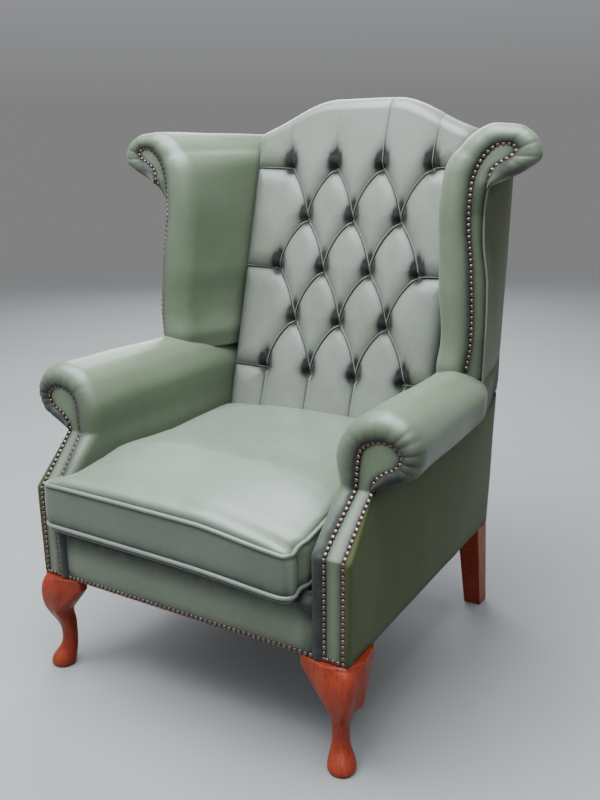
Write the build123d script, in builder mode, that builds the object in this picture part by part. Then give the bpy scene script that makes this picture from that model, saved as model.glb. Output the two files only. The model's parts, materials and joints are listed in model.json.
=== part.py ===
from build123d import *
import os
from math import acos, copysign, degrees, radians, cos, sin, sqrt

# Wing armchair with a deep-buttoned back, in millimetres.
# x runs across the chair, y from front to back, z up from the floor.
# The origin is on the floor under the middle of the chair.

os.makedirs("parts", exist_ok=True)

# Base
leg_height = 195
seat_front = -345
base_depth = 655
front_half_width = 330
rear_half_width = 306
rail_height = 88
rail_thick = 28
corner_block = 70
web_thick = 3
web_width = 50
seat_webs = 6
platform_thick = 9
dust_cover_thick = 1.5
border_thick = 18
border_round = 12
cover_thick = 8
cover_gap = 1.5
scroll_turn = 100
scroll_tighten = 3
neck_fall = 0.35

# Arms
seat_half_front = 268
seat_half_rear = 241
arm_height = 586
arm_setback = 85
arm_bend_height = 368
arm_neck_drop = 131
arm_overhang_front = 90
arm_overhang_rear = 8
scroll_rim = 30
facing_margin = 13
facing_scroll_inset = 36
arm_post_width = 30
arm_post_thick = 28
arm_rail_width = 24
arm_rail_height = 40

# Wings
wing_front = 51
wing_rake = 0.066
wing_lap = 56
wing_drop_front = 64
wing_drop_rear = 70
wing_inner_front = 285
wing_inner_rear = 250
wing_outer_front = 370
wing_overhang_front = 92
wing_overhang_rear = 6
wing_roll_front = 50
wing_roll_rear = 22
wing_facing_margin = 12
wing_post_thick = 25
wing_hook_rise = 7.5
wing_rail_width = 24
wing_rail_height = 30

# Back
outer_rake = 0.09
back_depth = 159
crest_frame_thick = 13.5
back_post_inner = 256
back_post_width = 32
back_post_drop = 85
crest_height = 1070
crest_flat = 70
crest_run = 205
crest_drop = 68
crest_rail_height = 60
crest_rail_inset = 26
crest_round = 34
lower_rail_z = 330
lower_rail_height = 50
back_half_low = 239.5
back_half_high = 249
back_webs = 5
pad_thick = 57
pleat_depth = 20
pleat_half_width = 44
pleat_bulge = 4.2

# Buttons
button_rows = 5
buttons_in_row = 4
button_pitch = 109
row_pitch = 108
first_row = 225
button_radius = 10
button_height = 8
button_round = 6
button_seat = 16
funnel_floor = 10.5
funnel_flare = 32

# Seat cushion
cushion_proud = 43
cushion_front_half = 279
cushion_nose = 14
cushion_edge = 393
cushion_side_edge = 421
cushion_rear_edge = 431
cushion_crown = 30
cushion_rear_crown = 19
crown_reach = 356
cushion_side_bulge = 4
cushion_draw_in = 6
soft_gap = 1

# Legs
leg_top = 60
leg_corner = 2
leg_room = 95
leg_turn = 0.7
# Front leg from the rail down to the shin: drop below the rail, width, stand-out and flat
knee_curve = (
    (0, 60, 0, 31),
    (15, 67, 9, 31),
    (32, 65, 14, 30),
    (47, 57, 18, 27),
    (62, 49, 20, 23),
    (79, 41, 18.5, 18),
    (93, 36, 14.3, 13),
)
# Front leg from the shin to the sole: height over the floor, width, stand-out and flat
foot_curve = (
    (86, 31, 9.5, 8),
    (68, 28.5, 7.8, 4),
    (53, 28.5, 7.8, 3),
    (40, 31, 9.5, 3),
    (29, 38, 13.5, 3),
    (18, 45, 18, 3),
    (9, 47.5, 20, 3),
    (0, 40, 20, 2),
)
# Ears beside the knee: reach from the corner, drop, stand-out, thickness and rounding
leg_ears = (
    (26, 92, 14, 38, 18),
    (58, 55, 8, 31, 13),
    (87, 22, 1, 20, 8),
)
rear_leg_top = 46
rear_leg_foot = 36
rear_leg_rake = 39
leg_bolt_radius = 4
leg_bolt_length = 90
leg_bolt_reach = 45
bolt_clearance = 0.2

# Heights and depths that follow from these
rear = seat_front + base_depth
rail_top = leg_height + rail_height
deck = rail_top + web_thick + platform_thick
scroll_y = seat_front + arm_setback
post_back = seat_front + cover_thick + arm_post_thick
reach = 2 * crest_height
rim_step = scroll_rim / 3
arm_neck_height = arm_height - arm_neck_drop
wing_foot = arm_height - wing_lap
wing_height = crest_height - wing_drop_front
wing_height_rear = crest_height - wing_drop_rear
back_post_height = crest_height - back_post_drop


def outer_x(y):
    """Half width over the outside covers at depth y."""
    return front_half_width - (front_half_width - rear_half_width) * (y - seat_front) / base_depth


def frame_x(y):
    """Half width over the frame, inside the outside covers."""
    return outer_x(y) - cover_thick


def inner_x(y):
    """Half width of the seat between the arms at depth y."""
    return seat_half_front - (seat_half_front - seat_half_rear) * (y - seat_front) / base_depth


def outer_back_y(z):
    """Depth of the frame's rear face, under the outside back."""
    return rear - cover_thick + outer_rake * (z - leg_height)


pad_foot_y = rear - back_depth
back_rake = (outer_back_y(crest_height) - crest_frame_thick - pad_foot_y) / (crest_height - deck)


def pad_back_y(z):
    """Depth of the rear face of the buttoned pad."""
    return pad_foot_y + back_rake * (z - deck)


def raked_plane(y, rake):
    """Upright plane across the chair that leans back; y is its depth at the floor."""
    return Plane(origin=(0, y, 0), x_dir=(1, 0, 0), z_dir=(0, -1, rake))


def along(z, rake):
    """Height z measured up a leaning plane."""
    return z * sqrt(1 + rake**2)


web_lean = web_thick * sqrt(1 + back_rake**2)
outer_back_plane = raked_plane(outer_back_y(0), outer_rake)
post_front_plane = raked_plane(pad_back_y(0) + web_lean, back_rake)
pad_plane = raked_plane(pad_back_y(0), back_rake)


def wing_plane(depth):
    """Plane of the wing's front, moved back by depth."""
    return raked_plane(wing_front - wing_rake * arm_height + depth, wing_rake)


def keep(piece, name):
    """Labels a finished piece and writes it."""
    piece.part.label = name
    export_step(piece.part, f"parts/{name}.step")


def keep_pair(right_piece, name):
    """Writes a right-hand piece and its mirror image."""
    keep(right_piece, f"right_{name}")
    with BuildPart() as left_piece:
        mirror(right_piece.part, about=Plane.YZ)
    keep(left_piece, f"left_{name}")


def scroll_section(plane, inner, outer, foot, top, overhang, radius):
    """Section of a padded wall that curls outwards at its top and ends under the curl."""
    centre_x = outer + overhang - radius
    inner_radius = centre_x - inner
    under_radius = radius - scroll_tighten
    under_centre = (centre_x + scroll_tighten, top - radius)
    wall_side = max(-1, (outer + cover_gap - under_centre[0]) / under_radius)
    under_turn = min(scroll_turn, degrees(acos(wall_side)))
    under_x = under_centre[0] + under_radius * cos(radians(under_turn))
    under_z = under_centre[1] - under_radius * sin(radians(under_turn))
    neck = under_z - neck_fall * (under_x - outer)
    with BuildSketch(plane) as section:
        with BuildLine():
            CenterArc((centre_x, top - inner_radius), inner_radius, 90, 90)
            CenterArc((centre_x, top - radius), radius, 0, 90)
            CenterArc(under_centre, under_radius, -under_turn, under_turn)
            Polyline(
                (under_x, under_z),
                (outer, neck),
                (outer, foot),
                (inner, foot),
                (inner, top - inner_radius),
            )
        make_face()
    return section.sketch


def rim_inset(depth):
    """How far a rolled rim is drawn in at a depth behind its front."""
    return scroll_rim - sqrt(scroll_rim**2 - (scroll_rim - depth) ** 2)


def bar_section(plane, x, height, width, depth):
    """Rectangular section of a frame member on a plane across the chair."""
    with BuildSketch(plane) as section:
        with Locations((x, height)):
            Rectangle(width, depth)
    return section.sketch


def front_profile(shift):
    """Side view of the arm's front edge, moved back by shift."""
    return [
        (seat_front + shift, leg_height),
        (seat_front + shift, arm_bend_height),
        (scroll_y + shift, arm_neck_height),
        (scroll_y + shift, arm_height),
    ]


# Arm roll: its radius and centre at the scroll
arm_outer = frame_x(scroll_y) - cover_gap
arm_roll = (arm_outer + arm_overhang_front - inner_x(scroll_y) - scroll_tighten) / 2
arm_centre = (arm_outer + arm_overhang_front - arm_roll, arm_height - arm_roll)
arm_face = scroll_y + cover_thick
arm_full = arm_face + scroll_rim
arm_rail_rear_z = arm_height - (frame_x(rear) + arm_overhang_rear - inner_x(rear)) / 2

# Wing roll: its centre at the front
wing_outer = wing_outer_front - cover_thick
wing_centre = (wing_outer + wing_overhang_front - wing_roll_front, wing_height - wing_roll_front)


def arm_section(depth):
    """Arm section at a depth behind the scroll's face, drawn in at the rim."""
    inset = rim_inset(min(depth, scroll_rim))
    return scroll_section(
        Plane.XZ.offset(-(arm_face + depth)),
        inner_x(arm_full) + inset,
        frame_x(arm_full) - cover_gap,
        rail_top,
        arm_height - inset,
        arm_overhang_front - inset,
        arm_roll - inset,
    )


def arm_rear_section():
    """Arm section at the outside back."""
    outer = frame_x(rear) - cover_gap
    return scroll_section(
        outer_back_plane,
        inner_x(rear),
        outer,
        along(rail_top, outer_rake),
        along(arm_height, outer_rake),
        arm_overhang_rear,
        (outer + arm_overhang_rear - inner_x(rear) - scroll_tighten) / 2,
    )


def wing_section(depth):
    """Wing section at a depth behind the wing's facing, drawn in at the rim."""
    inset = rim_inset(min(depth, scroll_rim))
    return scroll_section(
        wing_plane(cover_thick + depth),
        wing_inner_front + inset,
        wing_outer,
        along(wing_foot, wing_rake),
        along(wing_height, wing_rake) - inset,
        wing_overhang_front - inset,
        wing_roll_front - inset,
    )


def wing_rear_section():
    """Wing section at the outside back."""
    return scroll_section(
        outer_back_plane,
        wing_inner_rear,
        frame_x(rear) - cover_gap,
        along(arm_rail_rear_z, outer_rake),
        along(wing_height_rear, outer_rake),
        wing_overhang_rear,
        wing_roll_rear,
    )


# Seat rails
with BuildPart() as front_seat_rail:
    with BuildSketch(Plane.XY.offset(leg_height)):
        with Locations((0, seat_front + border_thick + rail_thick / 2)):
            Rectangle(2 * (frame_x(seat_front) - arm_post_width - cover_gap), rail_thick)
    extrude(amount=rail_height)
keep(front_seat_rail, "front_seat_rail")

arm_post_x = frame_x(seat_front) - cover_gap - arm_post_width / 2
rear_bolt = (frame_x(rear) - rail_thick / 2, rear - cover_thick - rear_leg_top / 2)
front_bolt = (arm_post_x, seat_front + cover_thick + arm_post_thick / 2)

with BuildPart() as right_seat_rail:
    with BuildSketch(Plane.XY.offset(leg_height)):
        with BuildLine():
            Polyline(
                (frame_x(post_back), post_back),
                (frame_x(rear - cover_thick), rear - cover_thick),
                (frame_x(rear - cover_thick) - rail_thick, rear - cover_thick),
                (frame_x(post_back) - rail_thick, post_back),
                close=True,
            )
        make_face()
    extrude(amount=rail_height)
    with BuildSketch(Plane.XY.offset(leg_height)):
        with Locations(rear_bolt):
            Circle(leg_bolt_radius + bolt_clearance)
    extrude(amount=leg_bolt_reach, mode=Mode.SUBTRACT)
keep_pair(right_seat_rail, "seat_rail")

rear_rail_front = rear - cover_thick - rail_thick
with BuildPart() as rear_seat_rail:
    with BuildSketch(Plane.XY.offset(leg_height)):
        with BuildLine():
            front_half = frame_x(rear_rail_front) - rail_thick
            rear_half = frame_x(rear - cover_thick) - rail_thick
            Polyline(
                (-front_half, rear_rail_front),
                (front_half, rear_rail_front),
                (rear_half, rear - cover_thick),
                (-rear_half, rear - cover_thick),
                close=True,
            )
        make_face()
    extrude(amount=rail_height)
keep(rear_seat_rail, "rear_seat_rail")

front_rail_back = seat_front + border_thick + rail_thick


def inside_rail(y):
    """Half width between the side rails at depth y."""
    return frame_x(y) - rail_thick


with BuildPart() as corner_blocks:
    with BuildSketch(Plane.XY.offset(leg_height)):
        for side in (-1, 1):
            with BuildLine():
                Polyline(
                    (side * inside_rail(front_rail_back), front_rail_back),
                    (side * (inside_rail(front_rail_back) - corner_block), front_rail_back),
                    (side * inside_rail(front_rail_back + corner_block), front_rail_back + corner_block),
                    close=True,
                )
            make_face()
            with BuildLine():
                Polyline(
                    (side * inside_rail(rear_rail_front), rear_rail_front),
                    (side * (inside_rail(rear_rail_front) - corner_block), rear_rail_front),
                    (side * inside_rail(rear_rail_front - corner_block), rear_rail_front - corner_block),
                    close=True,
                )
            make_face()
    extrude(amount=rail_height)
keep(corner_blocks, "corner_blocks")

# Arm posts with their scroll blocks
with BuildPart() as right_arm_post:
    with BuildSketch(Plane.YZ.offset(arm_post_x - arm_post_width / 2)):
        with BuildLine():
            lower = front_profile(cover_thick)[:3] + [(arm_face, arm_centre[1])]
            upper = [(y + arm_post_thick, z) for y, z in reversed(lower)]
            Polyline(*lower, *upper, close=True)
        make_face()
    extrude(amount=arm_post_width)
    with BuildSketch(Plane.XZ.offset(-arm_face)):
        with Locations(arm_centre):
            Circle(facing_scroll_inset - cover_gap)
    extrude(amount=-arm_post_thick)
    with BuildSketch(Plane.XY.offset(leg_height)):
        with Locations(front_bolt):
            Circle(leg_bolt_radius + bolt_clearance)
    extrude(amount=leg_bolt_reach, mode=Mode.SUBTRACT)
keep_pair(right_arm_post, "arm_post")

# Back posts: planks cut to the rake of the inside and the outside back
back_post_x = back_post_inner + back_post_width / 2
with BuildPart() as right_back_post:
    with BuildSketch(Plane.YZ.offset(back_post_inner)):
        with BuildLine():
            Polyline(
                (pad_back_y(rail_top) + web_lean, rail_top),
                (outer_back_y(rail_top), rail_top),
                (outer_back_y(back_post_height), back_post_height),
                (pad_back_y(back_post_height) + web_lean, back_post_height),
                close=True,
            )
        make_face()
    extrude(amount=back_post_width)
keep_pair(right_back_post, "back_post")

with BuildPart() as lower_back_rail:
    with BuildSketch(Plane.YZ.offset(-back_post_inner)):
        with BuildLine():
            lower_rail_top = lower_rail_z + lower_rail_height
            Polyline(
                (outer_back_y(lower_rail_z) - rail_thick, lower_rail_z),
                (outer_back_y(lower_rail_z), lower_rail_z),
                (outer_back_y(lower_rail_top), lower_rail_top),
                (outer_back_y(lower_rail_top) - rail_thick, lower_rail_top),
                close=True,
            )
        make_face()
    extrude(amount=2 * back_post_inner)
keep(lower_back_rail, "lower_back_rail")


def crest_outline(plane, top, half_low, half_high, foot):
    """Back outline with a flat crest that falls in a double curve to the shoulders."""
    bend = (crest_run**2 + crest_drop**2) / (4 * crest_drop)
    turn = degrees(acos(1 - crest_drop / (2 * bend)))
    shoulder = crest_flat + crest_run
    with BuildSketch(plane) as outline:
        with BuildLine():
            Line((-crest_flat, top), (crest_flat, top))
            CenterArc((crest_flat, top - bend), bend, 90 - turn, turn)
            CenterArc((shoulder, top - crest_drop + bend), bend, 270 - turn, turn)
            CenterArc((-crest_flat, top - bend), bend, 90, turn)
            CenterArc((-shoulder, top - crest_drop + bend), bend, 270, turn)
            Polyline(
                (shoulder, top - crest_drop),
                (half_low + crest_run, top - crest_drop),
                (half_low + crest_run, foot),
                (-half_low - crest_run, foot),
                (-half_low - crest_run, top - crest_drop),
                (-shoulder, top - crest_drop),
            )
        make_face()
        with BuildLine(mode=Mode.PRIVATE) as sides:
            Polyline((half_low, foot), (half_high, top), (-half_high, top), (-half_low, foot), close=True)
        make_face(sides.line, mode=Mode.INTERSECT)
    return outline.sketch


# Crest rail, between the posts
with BuildPart() as crest_rail:
    rail_foot = back_post_height - crest_rail_height
    rail_top_edge = crest_height - crest_rail_inset
    extrude(
        crest_outline(Plane.XZ, rail_top_edge, back_post_inner, back_post_inner, rail_foot),
        amount=reach,
        both=True,
    )
    with BuildSketch(Plane.YZ):
        with BuildLine():
            Polyline(
                (pad_back_y(rail_foot) + web_lean, rail_foot),
                (outer_back_y(rail_foot), rail_foot),
                (outer_back_y(rail_top_edge), rail_top_edge),
                (pad_back_y(rail_top_edge) + web_lean, rail_top_edge),
                close=True,
            )
        make_face()
    extrude(amount=reach, both=True, mode=Mode.INTERSECT)
keep(crest_rail, "crest_rail")

# Webbing: straps over the seat rails and across the back posts
with BuildPart() as seat_webbing:
    with BuildSketch(Plane.XY.offset(rail_top)):
        web_span = 2 * inside_rail(rear) - web_width
        with Locations((0, (seat_front + border_thick + rear - cover_thick) / 2)):
            with GridLocations(web_span / seat_webs, 0, seat_webs, 1):
                Rectangle(web_width, base_depth - border_thick - cover_thick)
    extrude(amount=web_thick)
keep(seat_webbing, "seat_webbing")

back_web_half = back_post_inner + back_post_width - cover_gap
with BuildPart() as back_webbing:
    with BuildSketch(post_front_plane):
        web_low = along(deck + web_width, back_rake)
        web_high = along(back_post_height - web_width, back_rake)
        with Locations((0, (web_low + web_high) / 2)):
            with GridLocations(0, (web_high - web_low) / (back_webs - 1), 1, back_webs):
                Rectangle(2 * back_web_half, web_width)
    extrude(amount=web_thick)
keep(back_webbing, "back_webbing")

# Arm rails, inside the rolls, from the scroll block to the back post
with BuildPart() as right_arm_rail:
    loft(
        [
            bar_section(
                Plane.XZ.offset(-(arm_face + arm_post_thick)),
                arm_centre[0],
                arm_centre[1],
                arm_rail_width,
                arm_rail_height,
            ),
            bar_section(
                post_front_plane,
                back_post_x,
                along(arm_rail_rear_z, back_rake),
                arm_rail_width,
                arm_rail_height,
            ),
        ],
        ruled=True,
    )
    add(back_webbing.part, mode=Mode.SUBTRACT)
keep_pair(right_arm_rail, "arm_rail")

# Wing posts, standing on the arm rails
wing_post_x = wing_outer - cover_gap - arm_post_width / 2
with BuildPart() as right_wing_post:
    with BuildSketch(wing_plane(cover_thick)):
        with BuildLine():
            post_foot = along(arm_height - arm_roll / 2, wing_rake)
            post_left = wing_post_x - arm_post_width / 2
            post_right = wing_post_x + arm_post_width / 2
            hook_top = along(wing_centre[1], wing_rake) + wing_hook_rise
            Polyline(
                (post_left, post_foot),
                (post_right, post_foot),
                (post_right, hook_top - arm_post_width),
                (wing_centre[0], hook_top - arm_post_width / 2),
                (wing_centre[0], hook_top),
                (post_right, hook_top),
                (post_left, hook_top - arm_post_width),
                close=True,
            )
        make_face()
    extrude(amount=-wing_post_thick)
    add(right_arm_rail.part, mode=Mode.SUBTRACT)
keep_pair(right_wing_post, "wing_post")

# Wing rails, from the wing post to the back post
wing_rail_z = back_post_height - wing_rail_height
with BuildPart() as right_wing_rail:
    loft(
        [
            bar_section(
                wing_plane(cover_thick).offset(-wing_post_thick),
                wing_post_x,
                along(wing_rail_z - wing_rail_height, wing_rake),
                wing_rail_width,
                wing_rail_height,
            ),
            bar_section(
                post_front_plane,
                back_post_x,
                along(wing_rail_z, back_rake),
                wing_rail_width,
                wing_rail_height,
            ),
        ],
        ruled=True,
    )
    add(back_webbing.part, mode=Mode.SUBTRACT)
keep_pair(right_wing_rail, "wing_rail")

# Seat platform over the webbing, and the dust cover under the rails
with BuildPart() as seat_platform:
    with BuildSketch(Plane.XY.offset(rail_top + web_thick)):
        with BuildLine():
            platform_front = seat_front + border_thick
            Polyline(
                (inner_x(platform_front) - soft_gap, platform_front),
                (inner_x(rear) - soft_gap, rear - cover_thick),
                (soft_gap - inner_x(rear), rear - cover_thick),
                (soft_gap - inner_x(platform_front), platform_front),
                close=True,
            )
        make_face()
    extrude(amount=platform_thick)
keep(seat_platform, "seat_platform")

with BuildPart() as dust_cover:
    with BuildSketch(Plane.XY.offset(leg_height - dust_cover_thick)):
        with Locations((0, (seat_front + rear) / 2)):
            Rectangle(2 * (rear_half_width - leg_room), base_depth - 2 * border_thick)
            Rectangle(2 * (rear_half_width - border_thick), base_depth - 2 * (leg_room + border_thick))
    extrude(amount=dust_cover_thick)
keep(dust_cover, "dust_cover")

# Front border under the cushion
with BuildPart() as front_border:
    with BuildSketch(Plane.XZ.offset(-seat_front)):
        with Locations((0, (leg_height + deck) / 2)):
            Rectangle(2 * (inner_x(seat_front) - soft_gap), deck - leg_height)
    extrude(amount=-border_thick)
    top_front = front_border.faces().sort_by(Axis.Y)[0].edges().sort_by(Axis.Z)[-1]
    fillet(top_front, radius=border_round)
keep(front_border, "front_border")

# Arm facings: narrow panels that run up the front of the arm into the scroll
with BuildPart() as right_arm_facing:
    with BuildSketch(Plane.XZ):
        with BuildLine():
            facing_inner = inner_x(seat_front) + facing_margin
            facing_outer = frame_x(seat_front)
            Polyline(
                (facing_inner, leg_height),
                (facing_inner, arm_bend_height),
                (arm_centre[0] - facing_scroll_inset, arm_centre[1]),
                (arm_centre[0], arm_centre[1]),
                (facing_outer, arm_neck_height),
                (facing_outer, leg_height),
                close=True,
            )
        make_face()
        with Locations(arm_centre):
            Circle(facing_scroll_inset)
    extrude(amount=reach, both=True)
    with BuildSketch(Plane.YZ):
        with BuildLine():
            Polyline(*front_profile(0), *reversed(front_profile(cover_thick)), close=True)
        make_face()
    extrude(amount=reach, both=True, mode=Mode.INTERSECT)
keep_pair(right_arm_facing, "arm_facing")

# Arm pads: inside arm and roll in one piece over the frame
sweep_slope = (arm_neck_height - arm_bend_height) / arm_setback
with BuildPart() as arm_front_block:
    with BuildSketch(Plane.XY):
        with BuildLine():
            Polyline(
                (inner_x(seat_front), seat_front),
                (frame_x(seat_front) - cover_gap, seat_front),
                (frame_x(arm_full) - cover_gap, arm_full),
                (inner_x(arm_full), arm_full),
                close=True,
            )
        make_face()
    extrude(amount=reach)
    with BuildSketch(Plane.YZ):
        with BuildLine():
            Polyline(
                (seat_front, leg_height),
                (seat_front, arm_bend_height),
                (arm_full, arm_bend_height + sweep_slope * (arm_full - seat_front)),
                (arm_full, rail_top),
                (post_back, rail_top),
                (post_back, leg_height),
                close=True,
            )
        make_face()
    extrude(amount=reach, both=True, mode=Mode.INTERSECT)

with BuildPart() as right_arm_pad:
    loft([arm_section(scroll_rim), arm_rear_section()], ruled=True)
    loft([arm_section(0), arm_section(rim_step), arm_section(scroll_rim)])
    add(arm_front_block.part)
    for inner_piece in (
        right_arm_facing,
        right_arm_post,
        right_arm_rail,
        front_seat_rail,
        right_wing_post,
        right_back_post,
        lower_back_rail,
        back_webbing,
    ):
        add(inner_piece.part, mode=Mode.SUBTRACT)
    with BuildSketch(Plane.XY.offset(leg_height)):
        with Locations(front_bolt):
            Circle(leg_bolt_radius + bolt_clearance)
    extrude(amount=leg_bolt_reach, mode=Mode.SUBTRACT)
keep_pair(right_arm_pad, "arm_pad")

# Outside arms: flat covered panels up to the underside of the roll
with BuildPart() as right_outside_arm:
    with BuildSketch(Plane.XY):
        with BuildLine():
            Polyline(
                (outer_x(seat_front), seat_front),
                (frame_x(seat_front), seat_front),
                (frame_x(rear + arm_setback), rear + arm_setback),
                (outer_x(rear + arm_setback), rear + arm_setback),
                close=True,
            )
        make_face()
    extrude(amount=reach)
    with BuildSketch(Plane.YZ):
        with BuildLine():
            Polyline(
                *front_profile(0)[:3],
                (arm_full, arm_centre[1]),
                (outer_back_y(arm_rail_rear_z), arm_rail_rear_z),
                (outer_back_y(leg_height), leg_height),
                close=True,
            )
        make_face()
    extrude(amount=reach, both=True, mode=Mode.INTERSECT)
    for inner_piece in (right_arm_pad, right_arm_post, right_arm_rail, right_arm_facing):
        add(inner_piece.part, mode=Mode.SUBTRACT)
keep_pair(right_outside_arm, "outside_arm")

# Wing pads, outside wings and wing facings
with BuildPart() as right_wing_pad:
    loft([wing_section(scroll_rim), wing_rear_section()], ruled=True)
    loft([wing_section(0), wing_section(rim_step), wing_section(scroll_rim)])
    for inner_piece in (
        right_wing_post,
        right_wing_rail,
        right_back_post,
        crest_rail,
        back_webbing,
        right_arm_rail,
        right_arm_pad,
        right_outside_arm,
    ):
        add(inner_piece.part, mode=Mode.SUBTRACT)
keep_pair(right_wing_pad, "wing_pad")

wing_panel_top = wing_centre[1] - wing_roll_front / 2
with BuildPart() as right_outside_wing:
    panel_thick = cover_thick - cover_gap
    panel_front_x = wing_outer + cover_gap + panel_thick / 2
    panel_rear_x = frame_x(rear) + panel_thick / 2
    panel_places = (
        (wing_plane(cover_thick), panel_front_x),
        (wing_plane(cover_thick + scroll_rim), panel_front_x),
        (outer_back_plane, panel_rear_x),
    )
    panel_mid = along((wing_foot + wing_panel_top) / 2, wing_rake)
    panel_tall = along(wing_panel_top - wing_foot, wing_rake)
    loft(
        [bar_section(plane, x, panel_mid, panel_thick, panel_tall) for plane, x in panel_places],
        ruled=True,
    )
    add(right_wing_pad.part, mode=Mode.SUBTRACT)
    add(right_arm_pad.part, mode=Mode.SUBTRACT)
    add(right_outside_arm.part, mode=Mode.SUBTRACT)
keep_pair(right_outside_wing, "outside_wing")

with BuildPart() as right_wing_facing:
    with BuildSketch(wing_plane(cover_thick)):
        with BuildLine():
            facing_foot = along(arm_height - wing_facing_margin, wing_rake)
            facing_left = wing_inner_front + scroll_rim + wing_facing_margin
            tip = (wing_centre[0] + wing_facing_margin, along(wing_centre[1], wing_rake))
            tip_start = (wing_centre[0], tip[1] + wing_facing_margin / 2)
            bend_z = tip[1] - (tip[0] - facing_left)
            Polyline(
                tip,
                (wing_outer, tip[1] - wing_roll_front),
                (wing_outer, facing_foot),
                (facing_left, facing_foot),
                (facing_left, bend_z),
            )
            TangentArc((facing_left, bend_z), tip_start, tangent=(0, 1))
            Line(tip_start, tip)
        make_face()
    extrude(amount=cover_thick)
    add(right_arm_pad.part, mode=Mode.SUBTRACT)
keep_pair(right_wing_facing, "wing_facing")

# Outside back, up to the crest
outer_back_face = Plane(outer_back_plane.origin, x_dir=(-1, 0, 0), z_dir=(0, 1, -outer_rake))
with BuildPart() as outside_back:
    extrude(
        crest_outline(
            outer_back_face,
            along(crest_height - cover_thick, outer_rake),
            outer_x(outer_back_y(leg_height)),
            outer_x(outer_back_y(crest_height)),
            along(leg_height, outer_rake),
        ),
        amount=cover_thick,
    )
keep(outside_back, "outside_back")

# Buttoned inside back. Rows of buttons alternate, and a pleat joins each button to its neighbours.
pleat_floor = pad_thick - pleat_depth
back_foot = along(deck, back_rake)
pad_top = along(crest_height, back_rake) - crest_round * back_rake


def row_height(row):
    """Distance up the back of a row of buttons, counted from the lowest."""
    return back_foot + first_row + row * row_pitch


def row_columns(row):
    """Columns of a row's buttons in half pitches from the middle. Odd rows have one button fewer."""
    count = buttons_in_row - row % 2
    return [2 * i - count + 1 for i in range(count)]


def button_place(column, row):
    """Place of a button on the back."""
    return (column * button_pitch / 2, row_height(row))


def row_places(row):
    """Places of a row's buttons, from left to right."""
    return [button_place(column, row) for column in row_columns(row)]


button_places = [place for row in range(button_rows) for place in row_places(row)]
top_row = button_rows - 1


def diagonal_pleats():
    """End points of the straight runs of pleats, both ways across the diamonds."""
    buttons = [(column, row) for row in range(button_rows) for column in row_columns(row)]
    pleats = []
    for column, row in buttons:
        for lean in (-1, 1):
            run = 0
            while (column + lean * (run + 1), row + run + 1) in buttons:
                run += 1
            if run and (column - lean, row - 1) not in buttons:
                end = button_place(column + lean * run, row + run)
                pleats.append((button_place(column, row), end))
    return pleats


def edge_pleats():
    """Pleats that run from the outer buttons to the top, the bottom and the sides."""
    pleats = [(place, (place[0], back_foot - pleat_depth)) for place in row_places(0)]
    pleats += [(place, (place[0], pad_top + crest_round)) for place in row_places(top_row)]
    for row in range(0, button_rows, 2):
        for place in (row_places(row)[0], row_places(row)[-1]):
            side = 1 if place[0] > 0 else -1
            pleats.append((place, (side * (back_half_high + pleat_depth), place[1])))
    return pleats


def pleat_plane(start, end):
    """Plane across a pleat at its start, with its y axis out of the back."""
    run = pad_plane.x_dir * (end[0] - start[0]) + pad_plane.y_dir * (end[1] - start[1])
    origin = pad_plane.from_local_coords(Vector(start[0], start[1], 0))
    return Plane(origin, x_dir=pad_plane.z_dir.cross(run), z_dir=run)


def pleat_tool(start, end):
    """Groove with two swelling sides that meet in the pleat."""
    with BuildPart() as tool:
        with BuildSketch(pleat_plane(start, end)):
            with BuildLine():
                for side in (-1, 1):
                    mouth = (side * pleat_half_width, pad_thick)
                    mid = (side * pleat_half_width / 2, (pleat_floor + pad_thick) / 2 + pleat_bulge)
                    ThreePointArc((0, pleat_floor), mid, mouth)
                Polyline(
                    (pleat_half_width, pad_thick),
                    (pleat_half_width, pad_thick + pleat_depth),
                    (-pleat_half_width, pad_thick + pleat_depth),
                    (-pleat_half_width, pad_thick),
                )
            make_face()
        extrude(amount=sqrt((end[0] - start[0]) ** 2 + (end[1] - start[1]) ** 2))
    return tool.part


with BuildPart() as inside_back:
    extrude(crest_outline(pad_plane, pad_top, back_half_low, back_half_high, back_foot), amount=pad_thick)
    front_face = inside_back.faces().sort_by(Axis(pad_plane.origin, pad_plane.z_dir))[-1]
    shoulder_height = pad_top - crest_drop - crest_round
    crest_edges = front_face.edges().filter_by(
        lambda edge: pad_plane.to_local_coords(edge.center()).Y > shoulder_height
    )
    fillet(crest_edges, radius=crest_round)
    for start, end in diagonal_pleats() + edge_pleats():
        add(pleat_tool(start, end), mode=Mode.SUBTRACT)
    with BuildSketch(pad_plane.offset(button_seat)):
        with Locations(*button_places):
            Circle(funnel_floor)
    extrude(amount=pad_thick - button_seat + soft_gap, taper=-funnel_flare, mode=Mode.SUBTRACT)
keep(inside_back, "inside_back")

with BuildPart() as back_buttons:
    with BuildSketch(pad_plane.offset(button_seat)):
        with Locations(*button_places):
            Circle(button_radius)
    extrude(amount=button_height)
    front_edges = back_buttons.edges().group_by(Axis(pad_plane.origin, pad_plane.z_dir))[-1]
    fillet(front_edges, radius=button_round)
keep(back_buttons, "back_buttons")


# Seat cushion: crowned, with a rounded nose in front of the arms and sides drawn in between them
def cushion_section(plane, half, low, high, crown):
    """Cushion section with swelling sides and a crowned top."""
    with BuildSketch(plane) as section:
        with BuildLine():
            Line((-half, low), (half, low))
            ThreePointArc((half, low), (half + cushion_side_bulge, (low + high) / 2), (half, high))
            ThreePointArc((half, high), (0, high + crown), (-half, high))
            ThreePointArc((-half, high), (-half - cushion_side_bulge, (low + high) / 2), (-half, low))
        make_face()
    return section.sketch


cushion_foot = deck + soft_gap / 2
cushion_front = seat_front - cushion_proud


def cushion_half(y, drawn_in):
    """Half width of the cushion between the arms at depth y."""
    return inner_x(y) - soft_gap - cushion_side_bulge - drawn_in


cushion_mid = (seat_front + pad_foot_y) / 2


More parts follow.
